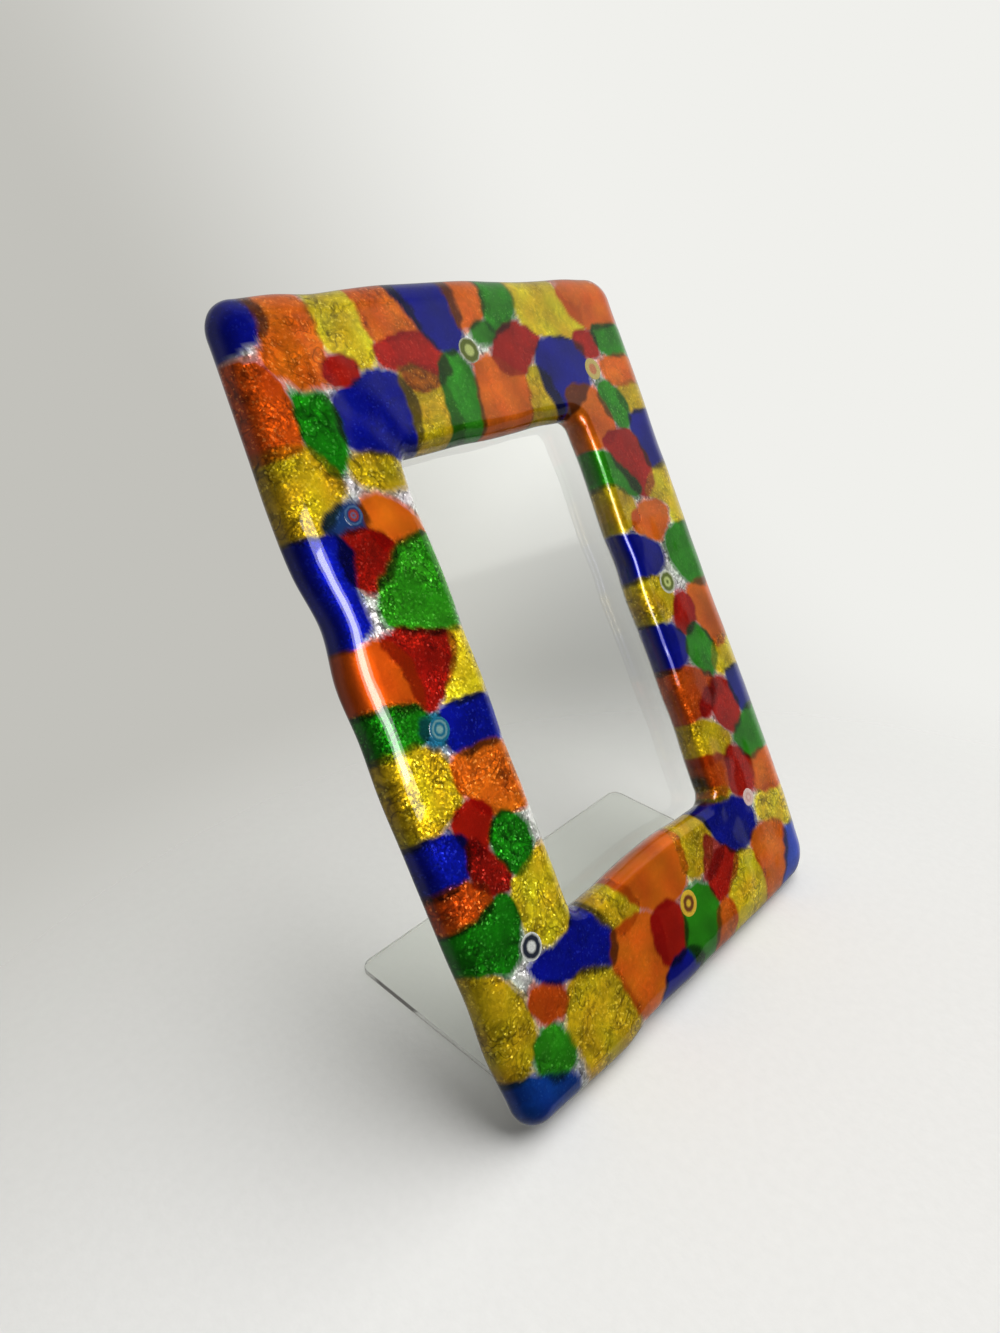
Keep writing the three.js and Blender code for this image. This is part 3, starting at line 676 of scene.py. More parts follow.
def fused_glass_material():
    """Soda-lime glass fused over crumpled silver leaf: the eye sees the leaf glitter through
    coloured glass, under a clear and glossy melted skin. Painted glints and the painted shade of
    folds and creases are in the leaf's colour."""
    material, tree = new_material("fused_glass_over_silver_leaf")
    coords = object_coordinates(tree)
    tint = add_node(tree, "ShaderNodeAttribute", attribute_name="tint").outputs["Color"]
    # glitter tips the leaf's facets, and sets how strong its painted glints and its painted fold and crease
    # shade are
    glitter = add_node(tree, "ShaderNodeAttribute", attribute_name="glitter").outputs["Fac"]
    # Facets of the leaf, 0.55 mm across: a few chosen ones get a painted glint in the base colour
    facets = add_node(tree, "ShaderNodeTexVoronoi", {"Vector": coords, "Scale": 1 / (0.55 * MM)})
    chosen = add_node(tree, "ShaderNodeSeparateColor", {"Color": facets.outputs["Color"]})
    gleam = add_node(
        tree,
        "ShaderNodeMapRange",
        {
            "Value": chosen.outputs["Green"],
            "From Min": 0.87,
            "From Max": 0.99,
            "To Min": 0.0,
            "To Max": 0.6,
        },
    )
    gleam = add_node(tree, "ShaderNodeMath", {0: gleam.outputs[0], 1: glitter}, operation="MULTIPLY")
    # Painted glints, paler than the glass round them, added to the base colour
    pale = add_node(tree, "ShaderNodeGamma", {"Color": tint, "Gamma": 0.5})
    painted_glints = add_node(
        tree, "ShaderNodeVectorMath", {0: pale.outputs[0], "Scale": gleam.outputs[0]}, operation="SCALE"
    )
    # Folds about 3 mm long: painted shade in their valleys and painted light on their ridges
    folds = add_node(
        tree,
        "ShaderNodeTexNoise",
        {"Vector": coords, "Scale": 1 / (3.2 * MM), "Detail": 4.0, "Roughness": 0.58, "Distortion": 1.2},
    )
    # Long creases wander between them where the leaf is most crumpled, darkened with painted shade
    wander = add_node(
        tree,
        "ShaderNodeTexNoise",
        {"Vector": coords, "Scale": 1 / (8 * MM), "Detail": 2.0, "Distortion": 1.2},
    )
    from_crease = add_node(tree, "ShaderNodeMath", {0: wander.outputs["Fac"], 1: 0.5}, operation="SUBTRACT")
    from_crease = add_node(tree, "ShaderNodeMath", {0: from_crease.outputs[0]}, operation="ABSOLUTE")
    shade_in_crease = add_node(tree, "ShaderNodeMath", {0: glitter, 1: 1.6}, operation="POWER")
    shade_in_crease = add_node(
        tree, "ShaderNodeMath", {0: shade_in_crease.outputs[0], 1: -0.6, 2: 1.0}, operation="MULTIPLY_ADD"
    )
    painted_crease_shade = add_node(
        tree,
        "ShaderNodeMapRange",
        {
            "Value": from_crease.outputs[0],
            "From Min": 0.004,
            "From Max": 0.045,
            "To Min": shade_in_crease.outputs[0],
            "To Max": 1.0,
        },
    )
    # How deep the painted fold shade and painted fold light go grows with how crumpled the leaf is
    depth = add_node(tree, "ShaderNodeMapRange", {"Value": glitter, "To Min": 0.03, "To Max": 0.52})
    low = add_node(tree, "ShaderNodeMath", {0: depth.outputs[0], 1: -0.7, 2: 1.0}, operation="MULTIPLY_ADD")
    high = add_node(tree, "ShaderNodeMath", {0: 1.0, 1: depth.outputs[0]}, operation="ADD")
    shade = add_node(
        tree,
        "ShaderNodeMapRange",
        {
            "Value": folds.outputs["Fac"],
            "From Min": 0.36,
            "From Max": 0.64,
            "To Min": low.outputs[0],
            "To Max": high.outputs[0],
        },
    )
    shade = add_node(
        tree, "ShaderNodeMath", {0: shade.outputs[0], 1: painted_crease_shade.outputs[0]}, operation="MULTIPLY"
    )
    # Base colour: the tint with painted fold and crease shade, and the painted glints added
    painted_light = add_node(tree, "ShaderNodeVectorMath", {0: tint, "Scale": shade.outputs[0]}, operation="SCALE")
    painted_light = add_node(tree, "ShaderNodeVectorMath", {0: painted_light.outputs[0], 1: painted_glints.outputs[0]}, operation="ADD")
    tip = add_node(tree, "ShaderNodeMapRange", {"Value": glitter, "To Min": 0.02, "To Max": 0.38})
    shader = add_node(
        tree,
        "ShaderNodeBsdfPrincipled",
        {
            "Base Color": painted_light.outputs[0],
            "Metallic": 0.45,
            "Roughness": 0.36,
            "Specular IOR Level": 0.0,
            "Normal": leaf_normal(tree, facets.outputs["Color"], folds.outputs["Fac"], tip.outputs[0]),
            "Coat Weight": 1.0,
            "Coat Roughness": 0.045,
            "Coat IOR": 1.5,
            "Coat Normal": coat_normal(tree, coords),
        },
    )
    add_node(tree, "ShaderNodeOutputMaterial", {"Surface": shader.outputs[0]})
    return material


def cane_material():
    """A slice of drawn glass cane: opaque coloured rings under the same glossy skin."""
    material, tree = new_material("cane_glass")
    coords = object_coordinates(tree)
    tint = add_node(tree, "ShaderNodeAttribute", attribute_name="tint").outputs["Color"]
    # Threads and small bubbles of the cane, 0.4 mm
    threads = add_node(tree, "ShaderNodeTexNoise", {"Vector": coords, "Scale": 1 / (0.4 * MM), "Detail": 2.0})
    shade = add_node(
        tree,
        "ShaderNodeMapRange",
        {
            "Value": threads.outputs["Fac"],
            "From Min": 0.3,
            "From Max": 0.7,
            "To Min": 0.82,
            "To Max": 1.12,
        },
    )
    toned = add_node(tree, "ShaderNodeVectorMath", {0: tint, "Scale": shade.outputs[0]}, operation="SCALE")
    shader = add_node(
        tree,
        "ShaderNodeBsdfPrincipled",
        {
            "Base Color": toned.outputs[0],
            "Roughness": 0.5,
            "Specular IOR Level": 0.0,
            "Coat Weight": 1.0,
            "Coat Roughness": 0.03,
            "Coat IOR": 1.5,
            "Coat Normal": coat_normal(tree, coords),
        },
    )
    add_node(tree, "ShaderNodeOutputMaterial", {"Surface": shader.outputs[0]})
    return material


def see_through(name, hex_tint, roughness, ior, scuffs):
    """Clear plastic: refracts and mirrors like glass, and lets light through to the floor."""
    material, tree = new_material(name)
    coords = object_coordinates(tree)
    # Handling leaves a few faint scuffs, some millimetres long
    scuff = add_node(
        tree,
        "ShaderNodeTexNoise",
        {"Vector": coords, "Scale": 1 / (6 * MM), "Detail": 2.0, "Distortion": 1.2},
    )
    gloss = add_node(
        tree,
        "ShaderNodeMapRange",
        {
            "Value": scuff.outputs["Fac"],
            "From Min": 0.64,
            "From Max": 0.8,
            "To Min": roughness,
            "To Max": roughness + scuffs,
        },
    )
    shader = add_node(
        tree,
        "ShaderNodeBsdfPrincipled",
        {
            "Base Color": colour(hex_tint),
            "Roughness": gloss.outputs[0],
            "IOR": ior,
            "Transmission Weight": 1.0,
        },
    )
    let_light_through(tree, shader, hex_tint, 0.0)
    return material


def let_light_through(tree, shader, hex_tint, share):
    """Ends a clear material: light goes straight through it to the floor, each ray of it once,
    and so does a share of what the eye sees."""
    clear = add_node(tree, "ShaderNodeBsdfTransparent", {"Color": colour(hex_tint)})
    path = add_node(tree, "ShaderNodeLightPath")
    straight = add_node(
        tree,
        "ShaderNodeMath",
        {0: path.outputs["Is Shadow Ray"], 1: path.outputs["Is Diffuse Ray"]},
        operation="MAXIMUM",
    )
    straight = add_node(tree, "ShaderNodeMath", {0: straight.outputs[0], 1: share}, operation="MAXIMUM")
    mix = add_node(
        tree, "ShaderNodeMixShader", {0: straight.outputs[0], 1: shader.outputs[0], 2: clear.outputs[0]}
    )
    add_node(tree, "ShaderNodeOutputMaterial", {"Surface": mix.outputs[0]})


def scraped_acrylic():
    """The cut edge of the sheet: scraped and faintly frosted, so it shows as a pale grey line."""
    material, tree = new_material("scraped_acrylic_edge")
    coords = object_coordinates(tree)
    # Scraper marks 0.5 mm apart
    marks = add_node(tree, "ShaderNodeTexNoise", {"Vector": coords, "Scale": 1 / (0.5 * MM), "Detail": 2.0})
    shade = add_node(
        tree,
        "ShaderNodeMapRange",
        {"Value": marks.outputs["Fac"], "From Min": 0.3, "From Max": 0.7, "To Min": 0.85, "To Max": 1.1},
    )
    toned = add_node(
        tree,
        "ShaderNodeVectorMath",
        {0: linear("#D2CFC9"), "Scale": shade.outputs[0]},
        operation="SCALE",
    )
    shader = add_node(
        tree,
        "ShaderNodeBsdfPrincipled",
        {"Base Color": toned.outputs[0], "Roughness": 0.35, "IOR": 1.49},
    )
    let_light_through(tree, shader, "#F8F9F7", 0.5)
    return material


# Shapes


def new_piece(name, bm, material):
    """Makes an object of a bmesh, which is used up."""
    mesh = bpy.data.meshes.new(name)
    bm.to_mesh(mesh)
    bm.free()
    mesh.materials.append(material)
    piece = bpy.data.objects.new(name, mesh)
    bpy.context.scene.collection.objects.link(piece)
    return piece


def face_outwards(bm):
    """Turns every face of a closed piece outwards."""
    bmesh.ops.recalc_face_normals(bm, faces=bm.faces)
    if bm.calc_volume(signed=True) < 0:
        bmesh.ops.reverse_faces(bm, faces=bm.faces)


def smooth_shade(piece):
    """Shades every face of a piece smoothly."""
    for polygon in piece.data.polygons:
        polygon.use_smooth = True


def face_matrix():
    """From the glass's face frame in metres (x from its middle, v, n) to the model's frame."""
    glass = bpy.context.scene.glass_frame_glass
    easel = bpy.context.scene.glass_frame_easel
    lean = Matrix.Rotation(math.pi / 2 - glass.lean, 4, "X")
    return Matrix.Translation((0, -easel.foot / 2, glass.above_table)) @ lean


def curve_through(offsets, share):
    """A smooth line through evenly spaced offsets."""
    points = np.array(offsets, float)
    at = np.clip(share, 0, 1) * (len(points) - 1)
    i = np.minimum(at.astype(int), len(points) - 2)
    t = at - i
    before = points[np.maximum(i - 1, 0)]
    start, end = points[i], points[i + 1]
    after = points[np.minimum(i + 2, len(points) - 1)]
    into, out = (end - before) / 2, (after - start) / 2
    cubic = 2 * start - 2 * end + into + out
    square = -3 * start + 3 * end - 2 * into - out
    return cubic * t**3 + square * t**2 + into * t + start


def wandering_outline(around, width, height, middle, radius, ripple, grow, strength=1.0):
    """Points of a rounded rectangle whose sides wander, in millimetres; around runs over its
    sides and corners as 0 to 8, and grow moves the whole outline outwards."""
    turn = max(radius + grow, SHARPEST_CORNER)
    half_w, half_h = width / 2 + grow - turn, height / 2 + grow - turn
    places = np.zeros((len(around), 2))
    sides = [
        ("bottom", "right", (-half_w, -half_h), (1, 0), (0, -1), 2 * half_w),
        ("right", "top", (half_w, -half_h), (0, 1), (1, 0), 2 * half_h),
        ("top", "left", (half_w, half_h), (-1, 0), (0, 1), 2 * half_w),
        ("left", "bottom", (-half_w, half_h), (0, -1), (-1, 0), 2 * half_h),
    ]
    for number, (name, next_name, start, along, out, span) in enumerate(sides):
        start, along, out = np.array(start), np.array(along), np.array(out)
        here = (around >= 2 * number) & (around < 2 * number + 1)
        share = around[here] - 2 * number
        away = turn + strength * curve_through(ripple[name], share)
        places[here] = start + share[:, None] * span * along + away[:, None] * out
        corner = start + span * along
        here = (around >= 2 * number + 1) & (around < 2 * number + 2)
        share = around[here] - 2 * number - 1
        angle = (number - 1 + share) * math.pi / 2
        away = turn + strength * ((1 - share) * ripple[name][-1] + share * ripple[next_name][0])
        places[here] = corner + away[:, None] * np.stack([np.cos(angle), np.sin(angle)], 1)
    return places + np.array(middle)


def section_stations(glass):
    """Stations round the section, from the back of the outer foot over the crown to the window
    and along the back: share of the window outline, insets from both outlines, and height."""
    low = glass.widest / MM
    rise = glass.thickness / MM - low
    outer, window = glass.outer_edge / MM, glass.window_edge / MM
    stations = []
    for t in np.linspace(0, 1, FOOT_ROWS + 1)[:-1]:
        stations.append((0, OUTER_FOOT * (1 - t) ** FOOT_CURVE, 0, low * t))
    for t in np.linspace(0, 1, OUTER_ROWS + 1)[:-1] * math.pi / 2:
        stations.append((0, outer * (1 - math.cos(t)), 0, low + rise * math.sin(t)))
    for t in np.linspace(0, 1, CROWN_ROWS + 1):
        stations.append((t, outer, window, low + rise))
    for t in np.linspace(1, 0, WINDOW_ROWS + 1)[1:] * math.pi / 2:
        stations.append((1, 0, window * (1 - math.cos(t)), low + rise * math.sin(t)))
    for t in np.linspace(1, 0, FOOT_ROWS + 1)[1:]:
        stations.append((1, 0, WINDOW_FOOT * (1 - t) ** FOOT_CURVE, low * t))
    for t in np.linspace(1, 0, BACK_ROWS + 1)[1:]:
        stations.append((t, OUTER_FOOT, WINDOW_FOOT, 0))
    return stations


def rounded(outline, turns=2):
    """Cuts the corners of an outline, as melting does."""
    points = np.array(outline, float)
    for _ in range(turns):
        after = np.roll(points, -1, axis=0)
        near_start = (1 - CORNER_CUT) * points + CORNER_CUT * after
        near_end = CORNER_CUT * points + (1 - CORNER_CUT) * after
        points = np.stack([near_start, near_end], 1).reshape(-1, 2)
    return points


def distance_to(outline, places):
    """Distance from each place to an outline, negative inside."""
    starts, ends = outline, np.roll(outline, -1, axis=0)
    nearest = np.full(len(places), np.inf)
    inside = np.zeros(len(places), bool)
    for (ax, ay), (bx, by) in zip(starts, ends):
        dx, dy = bx - ax, by - ay
        px, py = places[:, 0] - ax, places[:, 1] - ay
        t = np.clip((px * dx + py * dy) / (dx * dx + dy * dy), 0, 1)
        nearest = np.minimum(nearest, (px - t * dx) ** 2 + (py - t * dy) ** 2)
        if ay != by:
            crosses = ((ay <= places[:, 1]) != (by <= places[:, 1])) & (px < py * dx / dy)
            inside ^= crosses
    return np.where(inside, -1, 1) * np.sqrt(nearest)


def wobble(places, size, seed):
    """Smooth noise over the face between -1 and 1, in waves of one size. Each seed has its own."""
    shift = Vector((seed * 17.3, seed * 5.1, seed * 9.7))
    return np.array([noise.noise(Vector((x / size, v / size, 0)) + shift) for x, v in places])


def soft_step(rise):
    """Rises smoothly from 0 at -1 to 1 at 1."""
    share = np.clip(0.5 + 0.5 * rise, 0, 1)
    return share * share * (3 - 2 * share)


def before_drift(places, width, height):
    """Where each place of the mosaic lay before the glass melted. Pieces that reached the rim
    ran over it, so the rim shows what lay beside it."""
    softness, power = 60, 1.5
    near = [((places[:, 0] - x) ** 2 + (places[:, 1] - v) ** 2 + softness) ** -power for x, v, _, _ in DRIFT]
    near = np.array(near)
    drifts = np.array([drift for _, _, *drift in DRIFT])
    laid = places - (near / near.sum(0)).T @ drifts
    return np.clip(laid, RIM, np.array([width, height]) - RIM)


def mosaic_tint(places, soft_edge):
    """Tint of the leaf and how strongly it glitters, where the patches lie over each other."""
    warped = places.copy()
    for rise, length, seed in EDGE_WAVES:
        warped += rise * np.stack([wobble(places, length, seed), wobble(places, length, seed + 1)], 1)
    product = np.ones((len(places), 3))
    upper = np.ones((len(places), 3))
    glitter = np.zeros(len(places))
    seams = np.zeros(len(places))
    cover = np.zeros(len(places))
    closest = np.full(len(places), np.inf)
    beside = np.ones((len(places), 3))
    reach = 2
    for name, gleam, outline in MOSAIC:
        points = rounded(outline)
        shade = np.array(linear(name))
        low, high = points.min(0) - reach, points.max(0) + reach
        near = np.flatnonzero(((warped > low) & (warped < high)).all(1))
        away = distance_to(points, warped[near])
        laid = soft_step((SPREAD - away) / soft_edge)
        product[near] *= 1 - laid[:, None] * (1 - shade)
        upper[near] += laid[:, None] * (shade - upper[near])
        glitter[near] = np.maximum(glitter[near] * (1 - laid), laid * gleam)
        seams[near] = np.maximum(seams[near], gleam * np.exp(-(away**2)))
        cover[near] = np.maximum(cover[near], laid)
        nearer = away < closest[near]
        closest[near[nearer]] = away[nearer]
        beside[near[nearer]] = shade
    # Glass thins where it runs over its neighbour, so the upper colour keeps part of its strength
    tint = (1 - UPPER_SHARE) * product + UPPER_SHARE * upper
    # The leaf lies smooth in some places and crumples in others, most of all along the seams, and its painted
    # glints and painted fold shade follow
    crumpled = np.clip(0.78 + 1.1 * wobble(places, 6.5, CRUMPLE_SEED), 0.3, 1)
    broken = np.clip(0.4 + 1.6 * wobble(places, 4, SEAM_SEED), 0, 1)
    glitter = np.maximum(glitter * crumpled, np.clip(1.2 * seams, 0, 1) * broken)
    # Narrow gaps close up as the glass melts, and silver shows in the wide ones
    closed = soft_step((CLOSED_GAP - closest) / soft_edge)[:, None]
    gap = closed * beside + (1 - closed) * linear("silver")
    bare = 1 - cover
    glitter = np.maximum(glitter, bare)
    tint *= 1 - bare[:, None] * (1 - gap)
    # Hand-rolled sheet glass varies a little in strength, and in how green it is
    tint *= 1 + 0.4 * wobble(places, 9, STRENGTH_SEED)[:, None]
    tint[:, 1] *= 1 + 0.25 * wobble(places, 7, HUE_SEED)
    return np.clip(tint, 0, 1), glitter


def write_colours(mesh, tint, glitter=None):
    """Stores the tint of each point, and its glitter, where the materials read them."""
    layer = mesh.attributes.new("tint", "FLOAT_COLOR", "POINT")
    layer.data.foreach_set(
        "color", np.concatenate([tint, np.ones((len(tint), 1))], 1).ravel().astype(np.float32)
    )
    if glitter is not None:
        layer = mesh.attributes.new("glitter", "FLOAT", "POINT")
        layer.data.foreach_set("value", glitter.astype(np.float32))


def swell(places, height):
    """How far the melted front stands proud, in millimetres: long swells with shorter ones of
    half their height on them."""
    long, short = SWELL_LENGTHS
    return height * (wobble(places, long, SWELL_SEED) + 0.5 * wobble(places, short, FINE_SWELL_SEED))


def glass_face(glass, stations, around):
    """Places of the ring's points on the face in millimetres, row by row round the section."""
    width, height = glass.width / MM, glass.height / MM
    hole_w = width - 2 * glass.stile / MM
    hole_h = height - (glass.top_rail + glass.bottom_rail) / MM
    hole_middle = (width / 2, glass.bottom_rail / MM + hole_h / 2)
    middle = (width / 2, height / 2)
    outer_corner, window_corner = glass.outer_corner / MM, glass.window_corner / MM
    rings = np.zeros((len(stations), len(around), 3))
    for number, (share, outer_inset, window_inset, level) in enumerate(stations):
        # The edge wanders less and less towards the crown
        calm = 1 - CALMED * outer_inset * MM / glass.outer_edge
        outer = wandering_outline(
            around, width, height, middle, outer_corner, OUTER_RIPPLE, -outer_inset, calm
        )
        window = wandering_outline(
            around, hole_w, hole_h, hole_middle, window_corner, WINDOW_RIPPLE, window_inset
        )
        rings[number, :, :2] = (1 - share) * outer + share * window
        rings[number, :, 2] = level
    face = rings.reshape(-1, 3)
    proud = np.clip((face[:, 2] - glass.widest / MM) / SWELL_FADE, 0, 1)
    face[:, 2] += proud * swell(face[:, :2], glass.swell / MM)
    return face


def glass_tint(glass, stations, around, face):
    """Tint and glitter of the ring's points: the mosaic in front, with painted shade down its rounded edges
    and painted light on the left border's window edge, and the plain leaf behind.
    """
    width, height = glass.width / MM, glass.height / MM
    at_window = np.repeat([share == 1 for share, *_ in stations], len(around))
    on_left = np.tile(np.clip(2.5 * (1 - abs(around - LEFT_SIDE)), 0, 1), len(stations))
    # The pieces of the left border ran down over its window edge
    laid = face[:, :2].copy()
    beyond = np.maximum(laid[:, 0] - (glass.stile / MM - RUN_OVER), 0)
    laid[:, 0] -= at_window * on_left * beyond
    tint, glitter = mosaic_tint(before_drift(laid, width, height), glass.soft_edge / MM)
    # Painted shade: the mosaic darkens down its rounded edges. Painted light: the window edge of
    # the left border faces the light, and its colours are painted paler there
    slope = np.clip((glass.thickness / MM - face[:, 2]) / (glass.thickness / MM - glass.widest / MM), 0, 1)
    painted_light = (at_window * on_left * slope**0.4)[:, None]
    tint = tint * (1 - EDGE_PAINTED_SHADE * slope[:, None] ** 0.9) * (1 - painted_light) + painted_light * tint**0.55
    # The back shows the plain leaf through clear glass, with a trace of the colours in front of it
    back = np.clip(1 - face[:, 2] / BACK_RISE, 0, 1)
    leaf = BACK_SHADE * np.array(linear("silver")) + 0.05 * tint
    tint += back[:, None] * (leaf - tint)
    return tint, glitter * (1 - back) + BACK_GLITTER * back


class GLASSFRAME_OT_fused_glass(bpy.types.Operator):
    """Builds the fused glass ring with its mosaic over silver leaf"""

    bl_idname = "glass_frame.fused_glass"
    bl_label = "Fused Glass"

    def execute(self, context):
        glass = context.scene.glass_frame_glass
        stations = section_stations(glass)
        around = np.concatenate([number + np.arange(count) / count for number, count in enumerate(COLUMNS)])
        face = glass_face(glass, stations, around)
        tint, glitter = glass_tint(glass, stations, around, face)
        face[:, 0] -= glass.width / MM / 2
        to_model = np.array(face_matrix())
        placed = face * MM @ to_model[:3, :3].T + to_model[:3, 3]
        # A flat sheet of squares is wrapped round the section and round the frame
        columns, rows = len(around), len(stations)
        bm = bmesh.new()
        bmesh.ops.create_grid(bm, x_segments=columns, y_segments=rows, size=1)
        marks = bm.verts.layers.int.new("place")
        for vert in bm.verts:
            column = round((vert.co.x + 1) / 2 * columns) % columns
            row = round((vert.co.y + 1) / 2 * rows) % rows
            vert[marks] = row * columns + column
            vert.co = placed[vert[marks]]
        bmesh.ops.remove_doubles(bm, verts=bm.verts, dist=1e-7)
        face_outwards(bm)
        if any(len(edge.link_faces) != 2 for edge in bm.edges):
            raise RuntimeError("the glass ring isn't closed")
        kept = np.array([vert[marks] for vert in bm.verts])
        piece = new_piece("fused_glass", bm, fused_glass_material())
        piece.data.attributes.remove(piece.data.attributes["place"])
        smooth_shade(piece)
        write_colours(piece.data, tint[kept], glitter[kept])
        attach(piece, "root")
        nodes = [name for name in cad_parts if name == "glass_base" or name.startswith("tessera_")]
        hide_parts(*nodes)
        return {"FINISHED"}


def ring_tint(ring_list, at):
    """Colour of a slice of cane at a share of its radius: each ring lies in the one before it."""
    tint = np.array(linear(ring_list[0][1]))
    for limit, name in ring_list[1:]:
        inside = min(max((limit - at) / RING_BLUR + 0.5, 0), 1)
        tint = tint * (1 - inside) + np.array(linear(name)) * inside
    return tint


class GLASSFRAME_OT_murrine(bpy.types.Operator):
    """Builds the slices of patterned cane that are melted into the face"""

    bl_idname = "glass_frame.murrine"
    bl_label = "Murrine"

    def execute(self, context):
        glass = context.scene.glass_frame_glass
        settings = context.scene.glass_frame_murrina
        material = cane_material()
        to_model = face_matrix()
        crown = (glass.thickness + settings.proud) / MM
        for name, x, v, radius, ring_list in CANES:
            bm = bmesh.new()
            bmesh.ops.create_circle(bm, cap_ends=True, segments=settings.segments, radius=radius)
            bm.faces.ensure_lookup_table()
            middle = bm.faces[0]
            step = radius / (settings.rings + 1)
            for _ in range(settings.rings):
                bmesh.ops.inset_individual(bm, faces=[middle], thickness=step, use_even_offset=True)
            places = np.array([(x + vert.co.x, v + vert.co.y) for vert in bm.verts])
            uneven = 1 + UNEVEN * wobble(places, 1.6, CANE_SEED)
            lift = swell(places, glass.swell / MM)
            tints = []
            for number, vert in enumerate(bm.verts):
                share = vert.co.length / radius
                lobes = LOBE_HEIGHT * math.cos(LOBES * math.atan2(vert.co.y, vert.co.x))
                tints.append(ring_tint(ring_list, share * uneven[number] * (1 + lobes * (share < RIM_SHARE))))
                drop = RIM_DROP * max(share - RIM_SHARE, 0) / (1 - RIM_SHARE)
                px, pv = places[number]
                vert.co = to_model @ (
                    Vector((px - glass.width / MM / 2, pv, crown + lift[number] - drop)) * MM
                )
            # The slice goes down into the glass, so it has an underside there
            shell = bmesh.ops.extrude_face_region(bm, geom=bm.faces[:], use_keep_orig=True)
            lower = [item for item in shell["geom"] if isinstance(item, bmesh.types.BMVert)]
            inwards = to_model.to_3x3() @ Vector((0, 0, -SLICE_DEPTH * MM))
            bmesh.ops.translate(bm, verts=lower, vec=inwards)
            face_outwards(bm)
            piece = new_piece("murrina_slice_" + name, bm, material)
            smooth_shade(piece)
            write_colours(piece.data, np.array(tints * 2))
            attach(piece, "root")
            node = "murrina_" + name
            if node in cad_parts:
                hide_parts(node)
        return {"FINISHED"}


class GLASSFRAME_OT_easel(bpy.types.Operator):
    """Builds the acrylic sheet, bent into a plate and a foot"""

    bl_idname = "glass_frame.easel"
    bl_label = "Easel"

    def execute(self, context):
        glass = context.scene.glass_frame_glass
        easel = context.scene.glass_frame_easel
        outer = easel.bend + easel.sheet
        opening = math.pi / 2 - glass.lean
        tangent = outer / math.tan(opening / 2)
        front = easel.slot / math.cos(glass.lean) - glass.above_table * math.tan(glass.lean)
        centre = Vector((front + tangent, outer))
        foot_run = easel.foot - centre.x
        arc = outer * (math.pi - opening)
        length = foot_run + arc + easel.plate - tangent
        # The flat blank: its corners are rounded, the bend is cut crosswise and it gets its thickness
        bm = bmesh.new()
        bmesh.ops.create_grid(bm, x_segments=1, y_segments=1, size=0.5)
        bmesh.ops.scale(bm, verts=bm.verts, vec=(easel.width, length, 1))
        bmesh.ops.translate(bm, verts=bm.verts, vec=(0, length / 2, 0))
        bmesh.ops.bevel(
            bm,
            geom=bm.verts[:],
            offset=easel.corner,
            affect="VERTICES",
            segments=8,
            profile=0.5,
            material=-1,
        )
        bmesh.ops.solidify(bm, geom=bm.faces[:], thickness=-easel.sheet)
        bmesh.ops.translate(bm, verts=bm.verts, vec=(0, 0, -min(vert.co.z for vert in bm.verts)))
        bmesh.ops.recalc_face_normals(bm, faces=bm.faces)
        for side in bm.faces:
            side.material_index = int(abs(side.normal.z) < 0.5)
        sharp = [e for e in bm.edges if e.calc_face_angle(0) > SHARP]
        rim = [e for e in sharp if abs(e.verts[0].co.z - e.verts[1].co.z) < 1e-6]
        bmesh.ops.bevel(
            bm, geom=rim, offset=easel.polish, affect="EDGES", segments=3, profile=0.5, material=-1
        )
        for where in foot_run + arc * np.linspace(0, 1, BEND_CUTS + 1):
            bmesh.ops.bisect_plane(
                bm,
                geom=bm.verts[:] + bm.edges[:] + bm.faces[:],
                plane_co=(0, float(where), 0),
                plane_no=(0, 1, 0),
                dist=1e-7,
            )
        # Bending: distance along the blank becomes a place along foot, bend and plate
        for vert in bm.verts:
            along, depth = vert.co.y, vert.co.z
            if along <= foot_run:
                y, z = easel.foot - along, depth
            elif along <= foot_run + arc:
                angle = -math.pi / 2 - (along - foot_run) / outer
                y = centre.x + (outer - depth) * math.cos(angle)
                z = centre.y + (outer - depth) * math.sin(angle)
            else:
                angle = -math.pi / 2 - (math.pi - opening)
                run = along - foot_run - arc
                y = centre.x + (outer - depth) * math.cos(angle) + run * math.cos(opening)
                z = centre.y + (outer - depth) * math.sin(angle) + run * math.sin(opening)
            vert.co = (vert.co.x, y - easel.foot / 2, z)
        face_outwards(bm)
        material = see_through("clear_acrylic", "#F8F9F7", 0.0, 1.49, 0.05)
        piece = new_piece("bent_easel", bm, material)
        piece.data.materials.append(scraped_acrylic())
        smooth_round_flats(piece)
        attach(piece, "root")
        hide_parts("easel")
        return {"FINISHED"}


def smooth_round_flats(piece):
    """Smooth shading in which the large flat faces keep their own direction, so that a rounded
    rim doesn't bend what is seen through the sheet."""
    smooth_shade(piece)
    normals = np.zeros((len(piece.data.vertices), 3))
    for face in piece.data.polygons:
        normals[list(face.vertices)] += face.area * np.array(face.normal)
    normals /= np.linalg.norm(normals, axis=1)[:, None]
    piece.data.normals_split_custom_set_from_vertices(normals.tolist())


